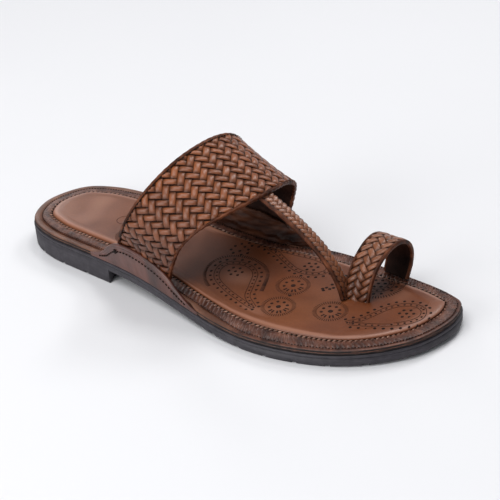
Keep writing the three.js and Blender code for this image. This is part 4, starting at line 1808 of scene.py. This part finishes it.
@dataclass
class Upper:
    """Woven band over the instep, braided centre strap and woven toe ring."""

    legs: Legs
    shop: Workshop
    finishes: Finishes
    band_wall: float = 2.4
    strap_wall: float = 2.5
    ring_wall: float = 2.2
    band_rows: tuple[EdgeRow, ...] = (
        EdgeRow((104.0, -46.6, 51.0), (141.5, -43.6, 43.0)),
        EdgeRow((112.6, -43.6, 65.6), (151.4, -39.6, 54.9)),
        EdgeRow((119.4, -33.4, 77.0), (160.8, -32.1, 62.2)),
        EdgeRow((124.4, -18.2, 84.4), (168.2, -21.0, 66.1)),
        EdgeRow((127.8, -0.7, 87.2), (172.8, -7.0, 67.4)), EdgeRow((129.2, 16.8, 85.4), (173.8, 8.2, 66.2)),
        EdgeRow((128.4, 31.4, 78.4), (171.2, 23.0, 62.0)), EdgeRow((124.0, 40.8, 66.0), (167.2, 35.2, 54.2)),
        EdgeRow((114.6, 42.0, 47.6), (161.2, 41.2, 41.6)),
    )
    strap_line: tuple[StrapRow, ...] = (
        StrapRow(158.0, 0.6, 73.2, 10.5), StrapRow(166.0, 0.5, 68.6, 10.5),
        StrapRow(174.0, 0.3, 63.9, 10.0), StrapRow(184.5, 0.2, 58.2, 9.4),
        StrapRow(196.5, 0.1, 50.2, 9.0), StrapRow(207.4, 0.0, 41.2, 9.0),
        StrapRow(215.8, -0.4, 32.0, 8.8), StrapRow(221.0, -0.8, 22.8, 8.2),
        StrapRow(223.4, -0.8, 13.4, 7.0),
    )
    facing_top: tuple[tuple[float, float], ...] = (
        (99.0, 14.0), (105.0, 22.0), (113.0, 27.4), (122.0, 29.2), (131.0, 29.8), (140.0, 29.4),
        (147.0, 28.0), (154.0, 25.6), (161.0, 22.0), (168.0, 17.6), (174.0, 13.6),
    )
    ring_rows: tuple[EdgeRow, ...] = (
        EdgeRow((219.4, -1.5, 10.4), (235.8, 0.8, 10.5)), EdgeRow((220.0, 0.4, 17.0), (236.4, 2.2, 18.0)),
        EdgeRow((221.2, 4.4, 26.0), (237.8, 4.8, 27.5)), EdgeRow((222.6, 10.0, 34.6), (239.8, 9.0, 35.4)),
        EdgeRow((224.0, 18.5, 40.8), (241.8, 16.5, 41.0)), EdgeRow((224.9, 27.0, 41.6), (243.0, 25.6, 41.8)),
        EdgeRow((225.3, 35.0, 37.2), (243.5, 33.6, 37.6)), EdgeRow((225.1, 39.6, 29.0), (243.2, 38.0, 30.0)),
        EdgeRow((224.6, 40.0, 20.0), (242.4, 38.2, 21.0)), EdgeRow((224.0, 37.8, 10.8), (241.0, 35.0, 11.1)),
    )

    def add(self, name: str, mesh: bmesh.types.BMesh, material: bpy.types.Material) -> None:
        """Makes one piece of the upper."""
        self.shop.piece(name, mesh, Node.UPPER, material)

    def band(self) -> None:
        """Instep band: lining, weave and the bindings of both edges."""
        table = [self.legs.corner_row(Side.LATERAL), *self.band_rows, self.legs.corner_row(Side.MEDIAL)]
        over = Wall.spread(table, 120)
        lateral, medial = self.legs.rows(Side.LATERAL), self.legs.rows(Side.MEDIAL)
        wall = Wall([*lateral, *over[1:-1], *reversed(medial)])
        start, stop, end = wall.marks[3], wall.marks[-4], wall.length - 2.0
        self.add("band_lining", wall.slab(-0.7, self.band_wall - 0.75, 0.6, 0.0, wall.length, 0.12),
                 self.finishes.lining)
        # Band floats turn paler from 30 to 80 mm up: painted light.
        weave = Weave(4.1, Wales.ACROSS, rear_margin=2.3, front_margin=1.2, burnished=(30.0, 80.0), seed=11)
        self.add("band_weave", weave.lay(wall, start, stop), self.finishes.woven)
        depth = self.band_wall / 2.0 - 0.12
        rear = wall.edge_roll(0.95, 1.15, 1.40, depth, 2.0, end, twist=0.10)
        self.add("band_rear_binding", rear, self.finishes.binding)
        front = wall.edge_roll(wall.width - 0.75, 1.10, 1.55, depth, 2.0, end, twist=0.28)
        self.add("band_front_binding", front, self.finishes.binding)
        self.add("band_stitches", self.edge_stitches(wall, 2.3, 2.6, start, stop), self.finishes.dark_thread)

    @staticmethod
    def edge_stitches(wall: Wall, across: float, pitch: float,
                      start: float, stop: float) -> bmesh.types.BMesh:
        """Row of dark stitches beside an edge.

        Args:
            wall: The strip.
            across: Millimetres from the rear edge.
            pitch: Step from stitch to stitch.
            start: Where the row starts.
            stop: Where it stops.

        Returns:
            The mesh of the stitches.
        """
        mesh = bmesh.new()
        share = across / wall.width
        for k in range(int((stop - start) / pitch)):
            distance = start + (k + 0.5) * pitch
            along = wall.at(distance + 0.5, share) - wall.at(distance - 0.5, share)
            at = along_frame(wall.at(distance, share, 0.45), along, wall.normal(distance, share))
            add_bead(mesh, at, 0.95, (1.0, 0.45, 0.4))
        return mesh

    def facing(self) -> None:
        """Crumpled leather facing inside the big-toe leg and just ahead of it."""
        top = Curve.through([Vector((x, 0.0, z)) for x, z in self.facing_top])
        last = self.legs.outline.last

        def place(u: float, v: float) -> Vector:
            """Point of the facing's thin section at one place along it."""
            edge = top.at(top.length * u)
            low = last.board_top(edge.x) + 1.6
            front = v < 0.5
            share = 1.0 - abs(2.0 * v - 1.0)
            fray = 0.5 * uneven(edge.x, 3.0, 0.0, 1.6) * smooth(share, 0.85, 1.0)
            z = mix(low, edge.z + fray, share)
            folds = uneven(edge.x * 0.28, 5.0, z, 2.3) + 0.7 * uneven(edge.x, 9.0, z * 0.5, 5.0)
            rope = math.exp(-(((z - low - 4.0) / 1.1 - 1.4 * uneven(edge.x, 2.0, 0.0, 7.0)) ** 2))
            crumple = 0.7 * folds + rope * (0.8 + 0.6 * uneven(edge.x, 1.0, z, 1.6))
            depth = 0.75 + crumple * smooth(share, 0.0, 0.2) if front else 0.1
            return self.legs.face(Side.MEDIAL, edge.x, z, -self.band_wall - depth)

        self.add("medial_facing", loft(110, 48, place), self.finishes.facing)

    def strap(self) -> None:
        """Centre strap: dark backing, a fine braid on top and a rolled edge."""
        middles = [Vector((row.x, row.y, row.z)) for row in self.strap_line]
        widths = [row.width for row in self.strap_line]
        halfway = [(before.x + after.x) / 2 for before, after in zip(middles, middles[1:])]
        line, steps, hidden = Curve.through(middles), 79, 0.06
        rows = []
        for k in range(steps + 1):
            spot = line.at(line.length * mix(hidden, 1.0, k / steps))
            near = min(range(len(halfway)), key=lambda j: abs(halfway[j] - spot.x))
            share = clamp((spot.x - middles[near].x) / (middles[near + 1].x - middles[near].x))
            half = Vector((0.0, mix(widths[near], widths[near + 1], share) / 2.0, 0.0))
            rows.append((spot + half, spot - half))
        wall = Wall(rows)
        self.add("strap_backing", wall.slab(-0.45, self.strap_wall - 0.45, 0.0, 0.0, wall.length),
                 self.finishes.lining)
        weave = Weave(2.35, Wales.ALONG, crest=0.26, dip=0.2, slender=1.2, broad=1.2,
                      rear_margin=0.25, front_margin=1.6, seed=5)
        self.add("strap_weave", weave.lay(wall, 0.0, wall.length), self.finishes.woven_fine)
        self.add("strap_edge", wall.edge_roll(wall.width - 0.85, 0.9, 1.15, 0.95, 0.0, wall.length - 1.0),
                 self.finishes.binding)

    def ring(self) -> None:
        """Toe ring: lining, weave and rolled edges."""
        wall = Wall.between(self.ring_rows, 90)
        self.add("ring_lining", wall.slab(-0.6, self.ring_wall - 0.65, 0.4, 0.0, wall.length, 0.08),
                 self.finishes.lining)
        weave = Weave(3.5, Wales.ALONG, slender=0.95, rear_margin=0.9, front_margin=0.9, seed=8)
        self.add("ring_weave", weave.lay(wall, 0.6, wall.length - 0.6), self.finishes.woven_fine)
        depth = self.ring_wall / 2.0 - 0.1
        for name, across in (("ring_rear_binding", 0.6), ("ring_front_binding", wall.width - 0.6)):
            roll = wall.edge_roll(across, 0.85, 1.25, depth, 0.3, wall.length - 0.3)
            self.add(name, roll, self.finishes.binding)

    def build(self) -> None:
        """Builds band, facing, strap and ring."""
        self.band()
        self.facing()
        self.strap()
        self.ring()


# ------------------------------------------------------------------ studio
@dataclass(frozen=True)
class Softbox:
    """A square studio light."""

    name: str
    place: Triple
    size: float
    watts: float


@dataclass(frozen=True)
class Studio:
    """Floor, soft light and camera."""

    target: Triple = (0.01442, 0.00593, 0.0251)
    azimuth: float = 39.163
    elevation: float = 30.6615
    roll: float = -5.6135
    distance: float = 1.03485
    lens: float = 130.43
    floor_colour: Colour = (0.80, 0.80, 0.815)
    walls: tuple[tuple[float, Colour], ...] = ((0.08, (0.78, 0.79, 0.84)), (0.30, (0.24, 0.245, 0.26)))
    lights: tuple[Softbox, ...] = (
        Softbox("overhead", (0.0, -0.5, 1.2), 0.8, 8.0),
        Softbox("crown", (0.0, 0.42, 1.15), 0.36, 3.6),
        Softbox("behind", (0.12, 0.95, 0.98), 0.36, 3.8),
        Softbox("heel_glow", (-1.15, 0.75, 0.68), 0.35, 2.0),
        Softbox("lateral_fill", (-0.3, -1.3, 0.5), 0.9, 9.5),
    )

    def camera(self) -> None:
        """Sets the camera at its angle to the sandal."""
        turn, rise = math.radians(self.azimuth), math.radians(self.elevation)
        back = Vector((math.sin(turn) * math.cos(rise), -math.cos(turn) * math.cos(rise), math.sin(rise)))
        data = bpy.data.cameras.new("camera")
        data.lens, data.sensor_width = self.lens, 36.0
        data.clip_start, data.clip_end = 0.05, 20.0
        made = bpy.data.objects.new("camera", data)
        made.matrix_world = (Matrix.Translation(Vector(self.target) + back * self.distance)
                             @ back.to_track_quat("Z", "Y").to_matrix().to_4x4()
                             @ Matrix.Rotation(math.radians(self.roll), 4, "Z"))
        bpy.context.scene.collection.objects.link(made)
        bpy.context.scene.camera = made

    def floor(self) -> None:
        """Lays the pale floor."""
        mesh = bmesh.new()
        bmesh.ops.create_grid(mesh, x_segments=4, y_segments=4, size=4.0)
        data = bpy.data.meshes.new("floor")
        mesh.to_mesh(data)
        mesh.free()
        recipe = Recipe("pale floor")
        gloss = recipe.ramp(recipe.speckle(8.0), ((0.3, grey(0.5)), (0.7, grey(0.6))))
        relief = recipe.bump(recipe.speckle(300.0), 0.01)
        data.materials.append(recipe.finish((*self.floor_colour, 1.0), gloss, relief, specular=0.3))
        made = bpy.data.objects.new("floor", data)
        bpy.context.scene.collection.objects.link(made)

    def light(self) -> None:
        """Hangs the softboxes and sets the world."""
        world = bpy.data.worlds.new("studio")
        world.use_nodes = True
        tree = world.node_tree
        coords, parts = tree.nodes.new("ShaderNodeTexCoord"), tree.nodes.new("ShaderNodeSeparateXYZ")
        ramp = tree.nodes.new("ShaderNodeValToRGB")
        for element, (height, colour) in zip(ramp.color_ramp.elements, self.walls):
            element.position, element.color = height, (*colour, 1.0)
        tree.links.new(coords.outputs["Generated"], parts.inputs[0])
        tree.links.new(parts.outputs["Z"], ramp.inputs["Fac"])
        tree.links.new(ramp.outputs["Color"], tree.nodes["Background"].inputs["Color"])
        bpy.context.scene.world = world
        bpy.context.scene.view_settings.view_transform = "Standard"
        for box in self.lights:
            data = bpy.data.lights.new(box.name, "AREA")
            data.shape, data.size, data.energy = "SQUARE", box.size, box.watts
            made = bpy.data.objects.new(box.name, data)
            place = Vector(box.place)
            made.matrix_world = Matrix.Translation(place) @ place.to_track_quat("Z", "Y").to_matrix().to_4x4()
            bpy.context.scene.collection.objects.link(made)

    def build(self) -> None:
        """Sets up the whole studio."""
        self.camera()
        self.floor()
        self.light()


PANEL_TOPS = {
    Side.LATERAL: ((66, 17.4), (72, 19.0), (78, 22.6), (84, 28.0), (90, 32.0), (97, 33.4),
                   (106, 32.6), (115, 30.6), (124, 27.8), (133, 23.6), (142, 17.0), (149, 12.9),
                   (156, 11.4)),
    Side.MEDIAL: ((70, 17.2), (77, 20.0), (86, 24.2), (95, 26.8), (104, 27.6), (113, 27.4), (122, 27.2),
                  (131, 27.2), (140, 27.0), (148, 25.6), (156, 22.2), (164, 17.8), (172, 13.2), (180, 10.4)),
}


def ground_of(piece: bpy.types.Object, shop: Workshop) -> BVHTree:
    """Search tree of a piece's faces, in the sole's millimetres."""
    mesh = bmesh.new()
    mesh.from_mesh(piece.data)
    bmesh.ops.transform(mesh, matrix=shop.to_frame.inverted(), verts=mesh.verts)
    tree = BVHTree.FromBMesh(mesh)
    mesh.free()
    return tree


def main() -> None:
    """Builds the studio and the sandal, sub-assembly by sub-assembly."""
    logging.basicConfig(level=logging.INFO, format="%(name)s: %(message)s")
    Studio().build()
    outline = Outline(Last())
    shop = Workshop(outline)
    finishes = Finishes.mixed()
    bed = Sole(outline, shop, finishes).build()
    Ornament(shop, finishes, ground_of(bed, shop)).build()
    legs = Legs(outline)
    for side, node, crumple in ((Side.LATERAL, Node.PANEL_LATERAL, 0.1),
                                (Side.MEDIAL, Node.PANEL_MEDIAL, 0.55)):
        SidePanel(side, node, PANEL_TOPS[side], legs, shop, finishes, crumple=crumple).build()
    Upper(legs, shop, finishes).build()


if __name__ == "__main__":
    main()
